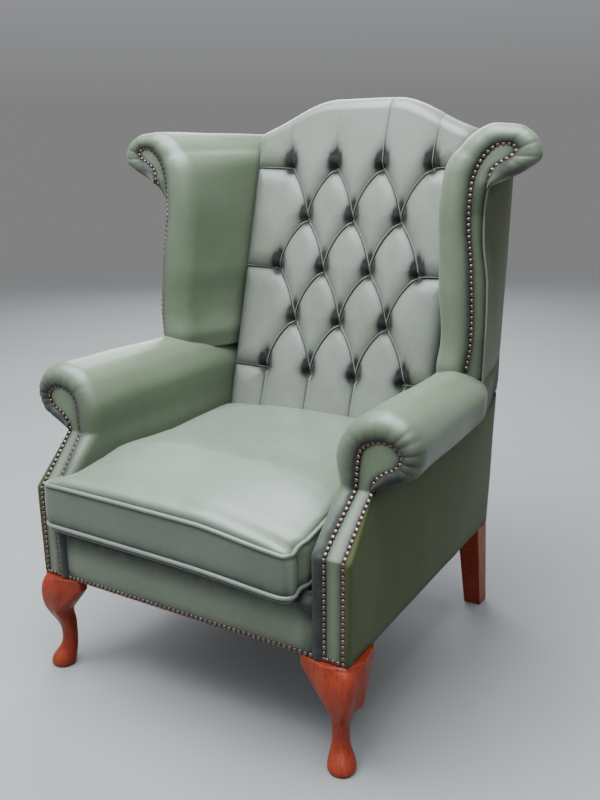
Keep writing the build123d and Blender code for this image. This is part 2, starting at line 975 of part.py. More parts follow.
def crown(y):
    """Height of the cushion's crown over its edges at depth y."""
    return cushion_crown * (1 - ((y - cushion_mid) / crown_reach) ** 2)


cushion_rear_plane = raked_plane(pad_back_y(0) - (pad_thick + soft_gap) * sqrt(1 + back_rake**2), back_rake)
with BuildPart() as seat_cushion:
    nose_half = cushion_front_half - cushion_side_bulge
    loft(
        [
            cushion_section(
                Plane.XZ.offset(-cushion_front),
                nose_half - cushion_nose,
                cushion_foot + cushion_nose / 2,
                cushion_edge - cushion_nose / 2,
                crown(cushion_front),
            ),
            cushion_section(
                Plane.XZ.offset(-cushion_front - cushion_nose),
                nose_half,
                cushion_foot,
                cushion_edge,
                crown(cushion_front + cushion_nose),
            ),
            cushion_section(
                Plane.XZ.offset(-seat_front + cushion_nose),
                nose_half,
                cushion_foot,
                cushion_edge,
                crown(seat_front - cushion_nose),
            ),
            cushion_section(
                Plane.XZ.offset(-seat_front + soft_gap),
                cushion_half(seat_front, 0),
                cushion_foot,
                cushion_edge,
                crown(seat_front),
            ),
            cushion_section(
                Plane.XZ.offset(-(seat_front + cushion_mid) / 2),
                cushion_half((seat_front + cushion_mid) / 2, cushion_draw_in / 2),
                cushion_foot,
                cushion_side_edge,
                crown((seat_front + cushion_mid) / 2),
            ),
            cushion_section(
                Plane.XZ.offset(-cushion_mid),
                cushion_half(cushion_mid, cushion_draw_in),
                cushion_foot,
                cushion_side_edge,
                cushion_crown,
            ),
            cushion_section(
                cushion_rear_plane,
                cushion_half(pad_foot_y, 0),
                along(cushion_foot, back_rake),
                along(cushion_rear_edge, back_rake),
                cushion_rear_crown,
            ),
        ],
        ruled=True,
    )
keep(seat_cushion, "seat_cushion")


# Cabriole front legs: a knee with two ears under the rails, a slim ankle and a pad foot
leg_x = outer_x(seat_front) - leg_corner - leg_top / 2
leg_y = seat_front + leg_corner + leg_top / 2


def leg_section(z, size, out, flat):
    """Square section of the leg with flat sides between round corners, standing out to the corner."""
    with BuildSketch(Plane.XY.offset(z)) as section:
        with Locations((leg_x + leg_turn * out, leg_y - out)):
            RectangleRounded(size, size, (size - flat) / 2)
    return section.sketch


def ear_section(plane, outer, inner, low, edge_round):
    """Section of an ear: flat under the rail, its lower outer edge rounded."""
    inwards = copysign(edge_round, inner - outer)
    slant = 1 - sqrt(0.5)
    with BuildSketch(plane) as section:
        with BuildLine():
            Polyline(
                (outer, low + edge_round),
                (outer, leg_height),
                (inner, leg_height),
                (inner, low),
                (outer + inwards, low),
            )
            ThreePointArc(
                (outer + inwards, low),
                (outer + slant * inwards, low + slant * edge_round),
                (outer, low + edge_round),
            )
        make_face()
    return section.sketch


with BuildPart() as right_front_leg:
    loft(
        [leg_section(leg_height - drop, size, out, flat) for drop, size, out, flat in knee_curve]
        + [leg_section(z, size, out, flat) for z, size, out, flat in foot_curve]
    )
    corner_x = outer_x(seat_front) - leg_corner
    corner_y = seat_front + leg_corner
    front_ear = []
    side_ear = []
    for reach, drop, out, thick, edge_round in leg_ears:
        low = leg_height - drop
        across = Plane.YZ.offset(corner_x - reach)
        front_ear.append(ear_section(across, corner_y - out, corner_y - out + thick, low, edge_round))
        along_side = Plane.XZ.offset(-corner_y - reach)
        side_ear.append(ear_section(along_side, corner_x + out, corner_x + out - thick, low, edge_round))
    loft(front_ear)
    loft(side_ear)
    with BuildSketch(Plane.XY.offset(leg_height)):
        with Locations(front_bolt):
            Circle(leg_bolt_radius + bolt_clearance)
    extrude(amount=leg_bolt_reach - leg_bolt_length, mode=Mode.SUBTRACT)
keep_pair(right_front_leg, "front_leg")

# Rear legs: square, tapered and raked back
rear_leg_x = rear_bolt[0]
rear_leg_y = rear_bolt[1]
with BuildPart() as right_rear_leg:
    loft(
        [
            bar_section(Plane.XY.offset(leg_height), rear_leg_x, rear_leg_y, rear_leg_top, rear_leg_top),
            bar_section(Plane.XY, rear_leg_x, rear_leg_y + rear_leg_rake, rear_leg_foot, rear_leg_foot),
        ],
        ruled=True,
    )
    with BuildSketch(Plane.XY.offset(leg_height)):
        with Locations(rear_bolt):
            Circle(leg_bolt_radius + bolt_clearance)
    extrude(amount=leg_bolt_reach - leg_bolt_length, mode=Mode.SUBTRACT)
keep_pair(right_rear_leg, "rear_leg")

with BuildPart() as leg_bolts:
    with BuildSketch(Plane.XY.offset(leg_height + leg_bolt_reach - leg_bolt_length)):
        for side in (-1, 1):
            with Locations((side * front_bolt[0], front_bolt[1]), (side * rear_bolt[0], rear_bolt[1])):
                Circle(leg_bolt_radius)
    extrude(amount=leg_bolt_length)
keep(leg_bolts, "leg_bolts")
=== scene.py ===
import json
import math

import bmesh
import bpy
import numpy as np
from bpy.props import FloatProperty, FloatVectorProperty, IntProperty, PointerProperty
from bpy.types import Operator, Panel, PropertyGroup
from mathutils import Matrix, Vector
from mathutils.bvhtree import BVHTree


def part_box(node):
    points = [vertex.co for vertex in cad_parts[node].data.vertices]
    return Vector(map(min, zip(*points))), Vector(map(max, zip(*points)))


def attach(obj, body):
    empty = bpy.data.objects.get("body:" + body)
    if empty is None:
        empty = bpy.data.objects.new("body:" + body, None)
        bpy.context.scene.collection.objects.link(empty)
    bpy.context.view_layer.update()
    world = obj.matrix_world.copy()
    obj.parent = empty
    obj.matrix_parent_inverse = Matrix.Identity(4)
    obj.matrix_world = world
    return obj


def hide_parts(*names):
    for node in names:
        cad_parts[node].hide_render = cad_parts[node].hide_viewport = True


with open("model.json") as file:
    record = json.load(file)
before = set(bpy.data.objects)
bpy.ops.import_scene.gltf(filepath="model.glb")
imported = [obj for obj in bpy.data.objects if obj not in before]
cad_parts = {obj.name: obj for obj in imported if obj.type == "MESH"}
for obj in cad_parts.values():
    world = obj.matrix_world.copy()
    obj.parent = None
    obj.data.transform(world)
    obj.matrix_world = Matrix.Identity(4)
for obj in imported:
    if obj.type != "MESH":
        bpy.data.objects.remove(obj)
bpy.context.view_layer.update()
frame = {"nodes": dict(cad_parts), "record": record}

bl_info = {
    "name": "Buttoned Wing Armchair",
    "version": (1, 0, 0),
    "blender": (4, 5, 0),
    "location": "3D View > Sidebar > Armchair",
    "description": "Upholsters the armchair's frame in buttoned leather and sets it on a pale stage",
    "category": "Object",
}

# Outlines below are written in millimetres, in the chair's own frame.
MM = 0.001
SEAT_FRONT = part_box("front_border")[0].y / MM
BASE_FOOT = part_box("front_border")[0].z / MM
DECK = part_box("seat_platform")[1].z / MM
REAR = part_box("right_outside_arm")[1].y / MM


class BackSettings(PropertyGroup):
    """Sizes of the buttoned back."""

    rake: FloatProperty(
        name="Rake", description="Run of the inside back per unit of rise", default=0.279,
    )
    foot_y: FloatProperty(
        name="Foot", description="Depth of the pad's rear face at the deck",
        default=0.151, unit="LENGTH",
    )
    crest: FloatProperty(name="Crest", description="Top of the back", default=1.070, unit="LENGTH")
    swell: FloatProperty(
        name="Swell", description="Height of the diamonds over the pad's rear face",
        default=0.060, unit="LENGTH",
    )
    pleat: FloatProperty(
        name="Pleat", description="Depth of a pleat halfway between buttons",
        default=0.013, unit="LENGTH",
    )
    sink: FloatProperty(
        name="Sink", description="Depth of a button below the diamonds",
        default=0.023, unit="LENGTH",
    )
    bow: FloatProperty(
        name="Bow", description="How far a pleat bows out between its buttons",
        default=0.010, unit="LENGTH",
    )
    pitch: FloatProperty(
        name="Pitch", description="Spacing of the buttons in a row", default=0.109, unit="LENGTH",
    )
    row_pitch: FloatProperty(
        name="Row pitch", description="Spacing of the rows up the back",
        default=0.108, unit="LENGTH",
    )
    first_row: FloatProperty(
        name="First row", description="Lowest row above the deck", default=0.210, unit="LENGTH",
    )
    aside: FloatProperty(
        name="Aside", description="Shift of the buttons to the right", default=0.008, unit="LENGTH",
    )
    rows: IntProperty(name="Rows", description="Rows of buttons", default=5, min=2)
    in_row: IntProperty(name="In a row", description="Buttons in the longer rows", default=4, min=2)
    step: FloatProperty(
        name="Step", description="Size of the mesh's squares", default=0.0020, unit="LENGTH",
    )
    lip: FloatProperty(
        name="Lip", description="Radius of the folded lips of the pleats",
        default=0.0013, unit="LENGTH",
    )
    button: FloatProperty(name="Button", description="Radius of a button", default=0.009, unit="LENGTH")


class TrimSettings(PropertyGroup):
    """Sizes of the nails and the piping."""

    nail_pitch: FloatProperty(
        name="Nail pitch", description="Spacing of the nails", default=0.0098, unit="LENGTH",
    )
    nail_radius: FloatProperty(
        name="Nail radius", description="Radius of a nail's head", default=0.0045, unit="LENGTH",
    )
    piping: FloatProperty(
        name="Piping", description="Radius of the cushion's piping", default=0.0036, unit="LENGTH",
    )
    wing_piping: FloatProperty(
        name="Wing piping", description="Radius of the wings' piping",
        default=0.0022, unit="LENGTH",
    )
    leather: FloatProperty(
        name="Leather", description="Thickness of the covers", default=0.005, unit="LENGTH",
    )


class CushionSettings(PropertyGroup):
    """How the seat cushion is filled."""

    voxel: FloatProperty(
        name="Voxel", description="Size of the remeshed squares", default=0.006, unit="LENGTH",
    )
    pressure: FloatProperty(name="Pressure", description="Pressure inside the cushion", default=4.0)
    frames: IntProperty(name="Frames", description="Steps of the simulation", default=20)
    swell: FloatProperty(
        name="Swell", description="Most that a point moves", default=0.010, unit="LENGTH",
    )


class FinishSettings(PropertyGroup):
    """Colours of the chair."""

    leather: FloatVectorProperty(
        name="Leather", description="Green of the leather",
        subtype="COLOR", default=(0.070, 0.094, 0.046),
    )
    # This dark serves both the antiquing and the shade painted into hollows, pits, creases and under
    # overhangs.
    rub: FloatVectorProperty(
        name="Rub-off", description="Dark of the antiqued hollows",
        subtype="COLOR", default=(0.005, 0.006, 0.005),
    )
    worn: FloatVectorProperty(
        name="Worn", description="Paler green of the worn faces",
        subtype="COLOR", default=(0.120, 0.146, 0.096),
    )
    brass: FloatVectorProperty(
        name="Brass", description="Metal of the nails",
        subtype="COLOR", default=(0.25, 0.175, 0.145),
    )
    mahogany: FloatVectorProperty(
        name="Mahogany", description="Stain of the legs",
        subtype="COLOR", default=(0.235, 0.024, 0.005),
    )


def back_settings():
    """The back's sizes."""
    return bpy.context.scene.armchair_back


def trim_settings():
    """The trim's sizes."""
    return bpy.context.scene.armchair_trim


def finish_settings():
    """The chair's colours."""
    return bpy.context.scene.armchair_finish


# Shader trees

class Wire:
    """A value in a shader tree. Sums of wires add Math nodes."""

    def __init__(self, paint, socket):
        self.paint = paint
        self.socket = socket

    def math(self, operation, *others, clamp=False):
        node = self.paint.tree.nodes.new("ShaderNodeMath")
        node.operation = operation
        node.use_clamp = clamp
        for index, value in enumerate((self, *others)):
            self.paint.plug(node.inputs[index], value)
        return Wire(self.paint, node.outputs[0])

    def __add__(self, other):
        return self.math("ADD", other)

    def __radd__(self, other):
        return self.math("ADD", other)

    def __sub__(self, other):
        return self.math("SUBTRACT", other)

    def __rsub__(self, other):
        return (self * -1.0).math("ADD", other)

    def __mul__(self, other):
        return self.math("MULTIPLY", other)

    def __rmul__(self, other):
        return self.math("MULTIPLY", other)

    def clamped(self):
        """The value held between nought and one."""
        return self.math("ADD", 0.0, clamp=True)


class Paint:
    """A material and the methods that add nodes to it."""

    def __init__(self, name):
        self.material = bpy.data.materials.new(name)
        self.material.use_nodes = True
        self.tree = self.material.node_tree
        self.tree.nodes.clear()

    def plug(self, socket, value):
        """Links a wire to a socket, or sets the socket's value."""
        if isinstance(value, Wire):
            self.tree.links.new(value.socket, socket)
        elif socket.type == "RGBA" and len(value) == 3:
            socket.default_value = (*value, 1.0)
        else:
            socket.default_value = value

    def add(self, kind, settings=None, sockets=None, output=0):
        """Adds a node with its settings, then its sockets' values or links, and gives one output."""
        node = self.tree.nodes.new(kind)
        for key, value in (settings or {}).items():
            if key == "stops":
                ramp = node.color_ramp.elements
                while len(ramp) < len(value):
                    ramp.new(1.0)
                for stop, (place, tone) in zip(ramp, value):
                    stop.position = place
                    stop.color = (tone, tone, tone, 1.0)
            else:
                setattr(node, key, value)
        for key, value in (sockets or {}).items():
            self.plug(node.inputs[key], value)
        return Wire(self, node.outputs[output])

    def place(self, scale=(1.0, 1.0, 1.0)):
        """Object coordinates, stretched by a scale."""
        coordinates = self.add("ShaderNodeTexCoord", output="Object")
        sockets = {"Vector": coordinates, "Scale": scale}
        return self.add("ShaderNodeMapping", {"vector_type": "POINT"}, sockets)

    def noise(self, place, scale, detail=3.0, roughness=0.5):
        """Soft clouds."""
        sockets = {"Vector": place, "Scale": scale, "Detail": detail, "Roughness": roughness}
        return self.add("ShaderNodeTexNoise", None, sockets)

    def cells(self, place, scale, feature="F1"):
        """Distance into round cells."""
        return self.add("ShaderNodeTexVoronoi", {"feature": feature}, {"Vector": place, "Scale": scale})

    def ramp(self, value, *stops):
        """A value mapped through grey stops."""
        return self.add("ShaderNodeValToRGB", {"stops": stops}, {"Fac": value})

    def blend(self, factor, first, second):
        """Mixes two colours."""
        settings = {"data_type": "RGBA", "clamp_factor": True}
        return self.add("ShaderNodeMix", settings, {0: factor, 6: first, 7: second}, 2)

    def bump(self, height, strength, distance):
        """A normal from a height."""
        sockets = {"Height": height, "Strength": strength, "Distance": distance}
        return self.add("ShaderNodeBump", None, sockets)

    def close(self, sockets):
        """Ends the tree in a Principled shader."""
        shader = self.add("ShaderNodeBsdfPrincipled", None, sockets)
        end = self.tree.nodes.new("ShaderNodeOutputMaterial")
        self.plug(end.inputs["Surface"], shader)
        return self.material


def leather_paint(name, tint, painted_shade, shine=0.5, coat=0.25):
    """Antiqued leather: green, darkened by the rub attribute where it is antiqued and where shade is
    painted, paler where it is worn.
    """
    colours = finish_settings()
    paint = Paint(name)
    place = paint.place()
    rub = paint.add("ShaderNodeAttribute", {"attribute_name": "rub"}, None, "Fac")
    cloud = paint.noise(place, 9.0, 4.0, 0.6)
    mottle = paint.noise(place, 46.0, 5.0, 0.65)
    fleck = paint.noise(place, 190.0, 3.0, 0.6)
    pebble = paint.cells(place, 420.0)
    crease = paint.cells(place, 150.0, "DISTANCE_TO_EDGE")
    green = tuple(c * t for c, t in zip(colours.leather, tint))
    worn = tuple(c * t for c, t in zip(colours.worn, tint))
    wear = (cloud * 0.55 + mottle * 0.30 + fleck * 0.15 - 0.34) * 1.6
    face = paint.blend(wear.clamped(), green, worn)
    # The attribute and the constant amount darken the colour: partly antiquing, partly painted shade in
    # hollows and on faces turned from the light.
    dark = (rub * (0.75 + mottle * 0.5) + (fleck - 0.62) * 0.25 + painted_shade).clamped()
    colour = paint.blend(dark, face, tuple(colours.rub))
    gloss = (0.36 + mottle * 0.16 + dark * 0.30 - wear * 0.03).clamped()
    crease = paint.ramp(crease, (0.0, 0.0), (0.12, 1.0))
    grain = pebble * 0.55 + crease * 0.25 + fleck * 0.35 + mottle * 0.7
    normal = paint.bump(grain, 0.20, 0.0012)
    return paint.close({
        "Base Color": colour,
        "Roughness": gloss,
        "Specular IOR Level": shine,
        "Coat Weight": (coat - dark * coat).clamped(),
        "Coat Roughness": 0.30,
        "Sheen Weight": 0.06,
        "Normal": normal,
    })


def brass_paint(name):
    """Antique brass with dark patina."""
    paint = Paint(name)
    place = paint.place()
    patina = paint.noise(place, 260.0, 4.0, 0.6)
    spread = paint.noise(place, 40.0, 2.0, 0.5)
    dull = (patina * 1.4 + spread * 0.6 - 0.50).clamped()
    bright = tuple(finish_settings().brass)
    colour = paint.blend(dull, bright, tuple(c * 0.22 for c in bright))
    return paint.close({
        "Base Color": colour,
        "Metallic": 1.0,
        "Roughness": 0.22 + dull * 0.3,
        "Normal": paint.bump(patina, 0.25, 0.0004),
    })


def wood_paint(name, colour, stretch, gloss, coat):
    """Wood with long grain, pores and slow changes of tone."""
    paint = Paint(name)
    warp = paint.noise(paint.place(stretch), 7.0, 3.0, 0.5)
    figure = paint.noise(paint.place(stretch), 34.0, 6.0, 0.62)
    fine = paint.noise(paint.place(tuple(4.0 * s for s in stretch)), 90.0, 3.0, 0.6)
    tone = (warp * 0.5 + figure * 0.7 + fine * 0.25 - 0.42).clamped()
    light = tuple(min(1.0, c * 1.55 + 0.012) for c in colour)
    deep = tuple(c * 0.42 for c in colour)
    body = paint.blend(tone, deep, light)
    pores = paint.ramp(fine, (0.30, 0.0), (0.44, 1.0))
    shade = paint.blend(pores, tuple(c * 0.35 for c in colour), body)
    return paint.close({
        "Base Color": shade,
        "Specular IOR Level": 0.22,
        "Roughness": (gloss + (1.0 - pores) * 0.14 + warp * 0.08).clamped(),
        "Coat Weight": coat,
        "Coat Roughness": 0.12,
        "Normal": paint.bump(fine * 0.6 + figure * 0.4, 0.12, 0.0006),
    })


def cloth_paint(name, colour, thread):
    """Plain woven cloth: two crossed ribs of thread."""
    paint = Paint(name)
    place = paint.place()
    sockets = {"Vector": place, "Scale": thread, "Distortion": 0.4, "Detail": 1.0}
    warp = paint.add("ShaderNodeTexWave", {"bands_direction": "X"}, sockets, "Fac")
    weft = paint.add("ShaderNodeTexWave", {"bands_direction": "Y"}, sockets, "Fac")
    weave = warp.math("MAXIMUM", weft)
    fade = paint.noise(place, 22.0, 4.0, 0.6)
    tone = (weave * 0.5 + fade * 0.6 - 0.1).clamped()
    dark, light = (tuple(c * share for c in colour) for share in (0.5, 1.3))
    return paint.close({
        "Base Color": paint.blend(tone, dark, light),
        "Roughness": 0.82 + fade * 0.12,
        "Normal": paint.bump(weave, 0.35, 0.0008),
    })


def steel_paint(name):
    """Zinc-plated steel."""
    paint = Paint(name)
    grain = paint.noise(paint.place((1.0, 1.0, 0.1)), 300.0, 3.0, 0.6)
    return paint.close({
        "Base Color": paint.blend(grain, (0.42, 0.42, 0.42), (0.62, 0.62, 0.60)),
        "Metallic": 1.0,
        "Roughness": 0.28 + grain * 0.22,
    })


def floor_paint(name):
    """Pale seamless paper."""
    paint = Paint(name)
    sockets = {0: paint.place((0.1, 0.1, 0.1))}
    away = paint.add("ShaderNodeVectorMath", {"operation": "LENGTH"}, sockets, "Value")
    cloud = paint.noise(paint.place(), 2.0, 3.0, 0.5)
    return paint.close({
        "Base Color": paint.blend(cloud, (0.19, 0.19, 0.187), (0.215, 0.215, 0.21)),
        "Roughness": 0.75 + cloud * 0.1,
        "Alpha": paint.ramp(away, (0.25, 1.0), (0.80, 0.0)),
    })


def finish(name):
    """The material of that name, made once."""
    made = bpy.data.materials.get(name)
    if made:
        return made
    # Leather: tint, painted shade, shine, coat. Wood: colour, grain, gloss, coat. Cloth: colour,
    # threads.
    recipes = {
        "antiqued_green": (leather_paint, (1.15, 1.15, 1.24), 0.0),
        # Painted light: the back and the seat are lighter, bluer copies that stand in for the sky's
        # sheen; the side copy is darker, painted shade for faces turned from the light; the buttons are
        # painted dark for the shade of their pits.
        "antiqued_back": (leather_paint, (1.62, 1.36, 1.98), 0.0, 0.28, 0.4),
        "antiqued_seat": (leather_paint, (1.32, 1.28, 1.66), 0.0),
        "antiqued_side": (leather_paint, (0.64, 0.61, 0.41), 0.05, 0.04, 0.0),
        "antiqued_button": (leather_paint, (0.6, 0.6, 0.6), 0.45, 0.5, 0.1),
        "antique_brass": (brass_paint,),
        "mahogany": (wood_paint, tuple(finish_settings().mahogany), (1.0, 1.0, 0.12), 0.32, 0.06),
        "beech": (wood_paint, (0.45, 0.30, 0.17), (1.0, 0.12, 0.4), 0.5, 0.0),
        "woven_jute": (cloth_paint, (0.30, 0.23, 0.14), 300.0),
        "woven_platform": (cloth_paint, (0.045, 0.055, 0.042), 420.0),
        "woven_black": (cloth_paint, (0.020, 0.020, 0.020), 500.0),
        "plated_steel": (steel_paint,),
        "pale_floor": (floor_paint,),
    }
    maker, *amounts = recipes[name]
    return maker(name, *amounts)


# Mesh building

def ease(values, low, high):
    """Nought below low, one above high, smooth between."""
    t = np.clip((values - low) / (high - low), 0.0, 1.0)
    return t * t * (3 - 2 * t)


def fade(distance, length):
    """One at a line, falling off over a length away from it."""
    return np.exp(-distance / length)


def hump(distance, width):
    """One at a line, falling off in a bell on both sides of it."""
    return np.exp(-((distance / width) ** 2))


def unit(vectors):
    """Vectors of length one."""
    return vectors / np.maximum(np.linalg.norm(vectors, axis=-1, keepdims=True), 1e-9)


def at_depth(places, y):
    """Points from widths and heights, at depth y."""
    return np.stack([places[:, 0], np.broadcast_to(y, len(places)), places[:, 1]], axis=1)


def run_length(points):
    """Length along a line up to each of its points."""
    return np.concatenate(([0.0], np.cumsum(np.linalg.norm(np.diff(points, axis=0), axis=1))))


def smooth_through(points, count):
    """Points along a smooth line through a few, with no overshoot, evenly spaced by length."""
    points = np.asarray(points, float)
    run = run_length(points)
    step = np.diff(run)[:, None]
    rise = np.diff(points, axis=0) / step
    slope = np.zeros_like(points)
    slope[0], slope[-1] = rise[0], rise[-1]
    same = rise[:-1] * rise[1:] > 0
    lead, trail = step[:-1], step[1:]
    with np.errstate(divide="ignore", invalid="ignore"):
        mean = 3 * (lead + trail) / ((2 * trail + lead) / rise[:-1] + (trail + 2 * lead) / rise[1:])
    slope[1:-1] = np.where(same, mean, 0.0)
    place = np.linspace(0.0, run[-1], count)
    k = np.clip(np.searchsorted(run, place, side="right") - 1, 0, len(step) - 1)
    h = step[k]
    t = ((place - run[k])[:, None]) / h
    return (
        (2 * t**3 - 3 * t**2 + 1) * points[k] + (t**3 - 2 * t**2 + t) * h * slope[k]
        + (3 * t**2 - 2 * t**3) * points[k + 1] + (t**3 - t**2) * h * slope[k + 1]
    )


def even_steps(points, count):
    """The points of a fine line, moved to even spacing."""
    run = run_length(points)
    place = np.linspace(0.0, run[-1], count)
    return np.stack([np.interp(place, run, points[:, i]) for i in range(points.shape[1])], axis=1)


def grid_normals(grid):
    """Unit normals of a grid of points."""
    along = np.gradient(grid, axis=0)
    across = np.gradient(grid, axis=1)
    normal = np.cross(along, across)
    return normal / np.maximum(np.linalg.norm(normal, axis=2, keepdims=True), 1e-12)


def grid_faces(rows, columns, start=0, turn=False):
    """Squares of a grid whose points are numbered row by row."""
    i, j = np.meshgrid(np.arange(rows - 1), np.arange(columns - 1), indexing="ij")
    a = (start + i * columns + j).ravel()
    square = np.stack([a, a + columns, a + columns + 1, a + 1], axis=1)
    return square[:, ::-1] if turn else square


def rim_faces(rows, columns, other):
    """Squares that join the rims of two grids of one size."""
    top = np.arange(columns)
    right = np.arange(1, rows) * columns + columns - 1
    bottom = (rows - 1) * columns + np.arange(columns - 2, -1, -1)
    left = np.arange(rows - 2, 0, -1) * columns
    loop = np.concatenate([top, right, bottom, left])
    after = np.roll(loop, -1)
    return np.stack([loop, after, after + other, loop + other], axis=1)


def add_object(name, data):
    """A new object in the scene."""
    piece = bpy.data.objects.new(name, data)
    bpy.context.scene.collection.objects.link(piece)
    return piece


def mark_rub_and_shade(mesh, values):
    """Stores how dark each point of a mesh is painted, for antiquing and for painted shade."""
    layer = mesh.attributes.new("rub", "FLOAT", "POINT")
    layer.data.foreach_set("value", np.asarray(values, np.float32))


def clean(mesh, near):
    """Merges points nearer than a distance and turns the faces outwards."""
    work = bmesh.new()
    work.from_mesh(mesh)
    bmesh.ops.remove_doubles(work, verts=work.verts, dist=near)
    bmesh.ops.recalc_face_normals(work, faces=work.faces)
    work.to_mesh(mesh)
    work.free()


def shade_smooth(mesh):
    """Smooth shading on every face."""
    mesh.polygons.foreach_set("use_smooth", np.ones(len(mesh.polygons), bool))


def point_places(mesh):
    """Places of a mesh's points."""
    return np.array([point.co for point in mesh.vertices])


def move_points(mesh, places):
    """Puts a mesh's points at new places."""
    mesh.vertices.foreach_set("co", places.astype(np.float32).ravel())
    mesh.update()


def make_piece(name, points, faces, rub, material):
    """A smooth mesh object at the origin, its faces turned outwards."""
    mesh = bpy.data.meshes.new(name)
    mesh.from_pydata(points.tolist(), [], faces)
    mark_rub_and_shade(mesh, rub)
    clean(mesh, 1e-6)
    shade_smooth(mesh)
    mesh.materials.append(finish(material))
    return add_object(name, mesh)


def make_sheet(name, grid, rub, material, thick):
    """A grid of leather with a back and closed edges."""
    rows, columns = grid.shape[:2]
    back = grid - grid_normals(grid) * thick
    points = np.concatenate([grid.reshape(-1, 3), back.reshape(-1, 3)])
    size = rows * columns
    faces = np.concatenate([
        grid_faces(rows, columns),
        grid_faces(rows, columns, size, True),
        rim_faces(rows, columns, size)[:, ::-1],
    ])
    return make_piece(name, points, faces.tolist(), np.tile(rub.ravel(), 2), material)


def soften(piece, levels=1):
    """One live subdivision."""
    modifier = piece.modifiers.new("Soften", "SUBSURF")
    modifier.levels = levels
    modifier.render_levels = levels


def seat_piece(piece, body, slot, *nodes):
    """Fastens a piece to its body and hides the solids it stands for."""
    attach(piece, body)
    if nodes:
        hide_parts(*nodes)


def add_cover(name, shape, side, toward, material, node, columns=slice(None)):
    """A leather cover on one side of the chair, its face outwards, in place of a solid."""
    grid, rub = shape
    grid = grid * np.array([side, 1.0, 1.0]) * MM
    if np.mean(grid_normals(grid)[:, columns] @ np.array(toward, float)) < 0:
        grid, rub = grid[:, ::-1], rub[:, ::-1]
    piece = make_sheet(name, grid, rub, material, trim_settings().leather)
    seat_piece(piece, "chair", "green_leather", node)
    return piece


def side_name(side):
    """Name of a side of the chair."""
    return "right" if side > 0 else "left"


def sway(grid, size, seed):
    """Slow hand-made unevenness: a few waves over a grid of points."""
    generator = np.random.default_rng(seed)
    total = np.zeros(grid.shape[:2])
    for _ in range(7):
        wave = generator.normal(0, 1, 3)
        wave *= generator.uniform(14, 55) / np.linalg.norm(wave)
        total += np.sin(grid @ wave + generator.uniform(0, 2 * math.pi))
    return total / 7 * size


# Shape of the frame that the covers follow

def outer_x(y):
    """Half width over the outside arms at depth y."""
    front, back, depth = 330.0, 306.0, 655.0
    return front - (front - back) * (y - SEAT_FRONT) / depth


# Arm's front: heights where its slope begins and ends, and the depth of the scroll
ARM_KNEE = 368.0
ARM_NECK = 455.0
SCROLL_FRONT = -260.0
# Wing's front: its depth and height where it meets the arm, and its run back per unit of rise
WING_FRONT = 51.0
WING_FOOT = 586.0
WING_RAKE = 0.066
# Run back of the wing's turned facing per unit of its width
WING_SLOPE = 1.33


def front_y(z):
    """Depth of the arm's front at height z: upright, then sloping back to the scroll."""
    return np.interp(z, [ARM_KNEE, ARM_NECK], [SEAT_FRONT, SCROLL_FRONT])


def wing_y(z):
    """Depth of the wing's front at height z."""
    return WING_FRONT + WING_RAKE * (z - WING_FOOT)


def wing_nail_x(z):
    """Half distance between the wings' lower nails at height z."""
    widths, heights = zip(*WING_NAILS[:6])
    return np.interp(z, heights, widths)


def wing_turn(z):
    """Share of the facing's outward turn at height z: whole below the wing's scroll, none at it."""
    return 1 - ease(z, 850, 912)


def turned(x, z):
    """Places on the wing's facing, which turns outwards below the scroll: half width and depth."""
    slope = WING_SLOPE * wing_turn(z)
    narrowing = 0.368
    width = np.maximum(x - wing_nail_x(z), 0.0)
    narrow = width / (1 + narrowing * slope)
    return x - width + narrow, wing_y(z) + slope * narrow


def outer_back_y(z):
    """Depth of the outside back's rear face at height z."""
    foot, rake = 310.0, 0.09
    return foot + rake * (z - BASE_FOOT)


def inner_back_y(z):
    """Depth of the inside back's rear face at height z."""
    settings = back_settings()
    return settings.foot_y / MM + settings.rake * (z - DECK)


def crest_z(x, top):
    """Crest line of the back: flat in the middle, falling in a double curve to the shoulders."""
    flat_half, run, fall = 62.0, 205.0, 68.0
    share = np.clip((np.abs(x) - flat_half) / run, 0.0, 1.0)
    return top - fall * (1 - np.cos(math.pi * share)) / 2


# Arm roll: rim of the scroll, its line of nails, and the roll at the wing and at the outside back
ARM_ROWS = (
    # rim      nails        at the wing  at the back
    ((266, 195), (286, 195), (255, 195), (243, 195)),
    ((266, 340), (286, 340), (255, 340), (243, 340)),
    ((266, 372), (286, 372), (255, 372), (243, 372)),
    ((262, 452), (295, 458), (254, 452), (242, 452)),
    ((252, 505), (297, 490), (251, 510), (241, 515)),
    ((270, 548), (300, 514), (268, 552), (248, 560)),
    ((304, 575), (315, 531), (296, 576), (262, 582)),
    ((340, 583), (342, 538), (328, 584), (276, 586)),
    ((378, 572), (364, 531), (362, 568), (294, 578)),
    ((405, 530), (373, 516), (386, 535), (309, 550)),
    ((396, 492), (362, 497), (384, 502), (310, 505)),
    ((362, 470), (345, 488), (354, 482), (306, 478)),
    ((326, 455), (324, 466), (312, 474), (299, 470)),
)
# Outer edge of the arm's facing, from the foot to the top of the scroll
ARM_FACING_OUTER = (
    (320, 195), (320, 340), (320, 372), (324, 458), (326, 468),
    (345, 488), (362, 497), (373, 516), (364, 531), (342, 538),
)
# Inner line of the arm's nails, from the foot to the top of the scroll
ARM_NAILS = tuple(row[1] for row in ARM_ROWS[:8])

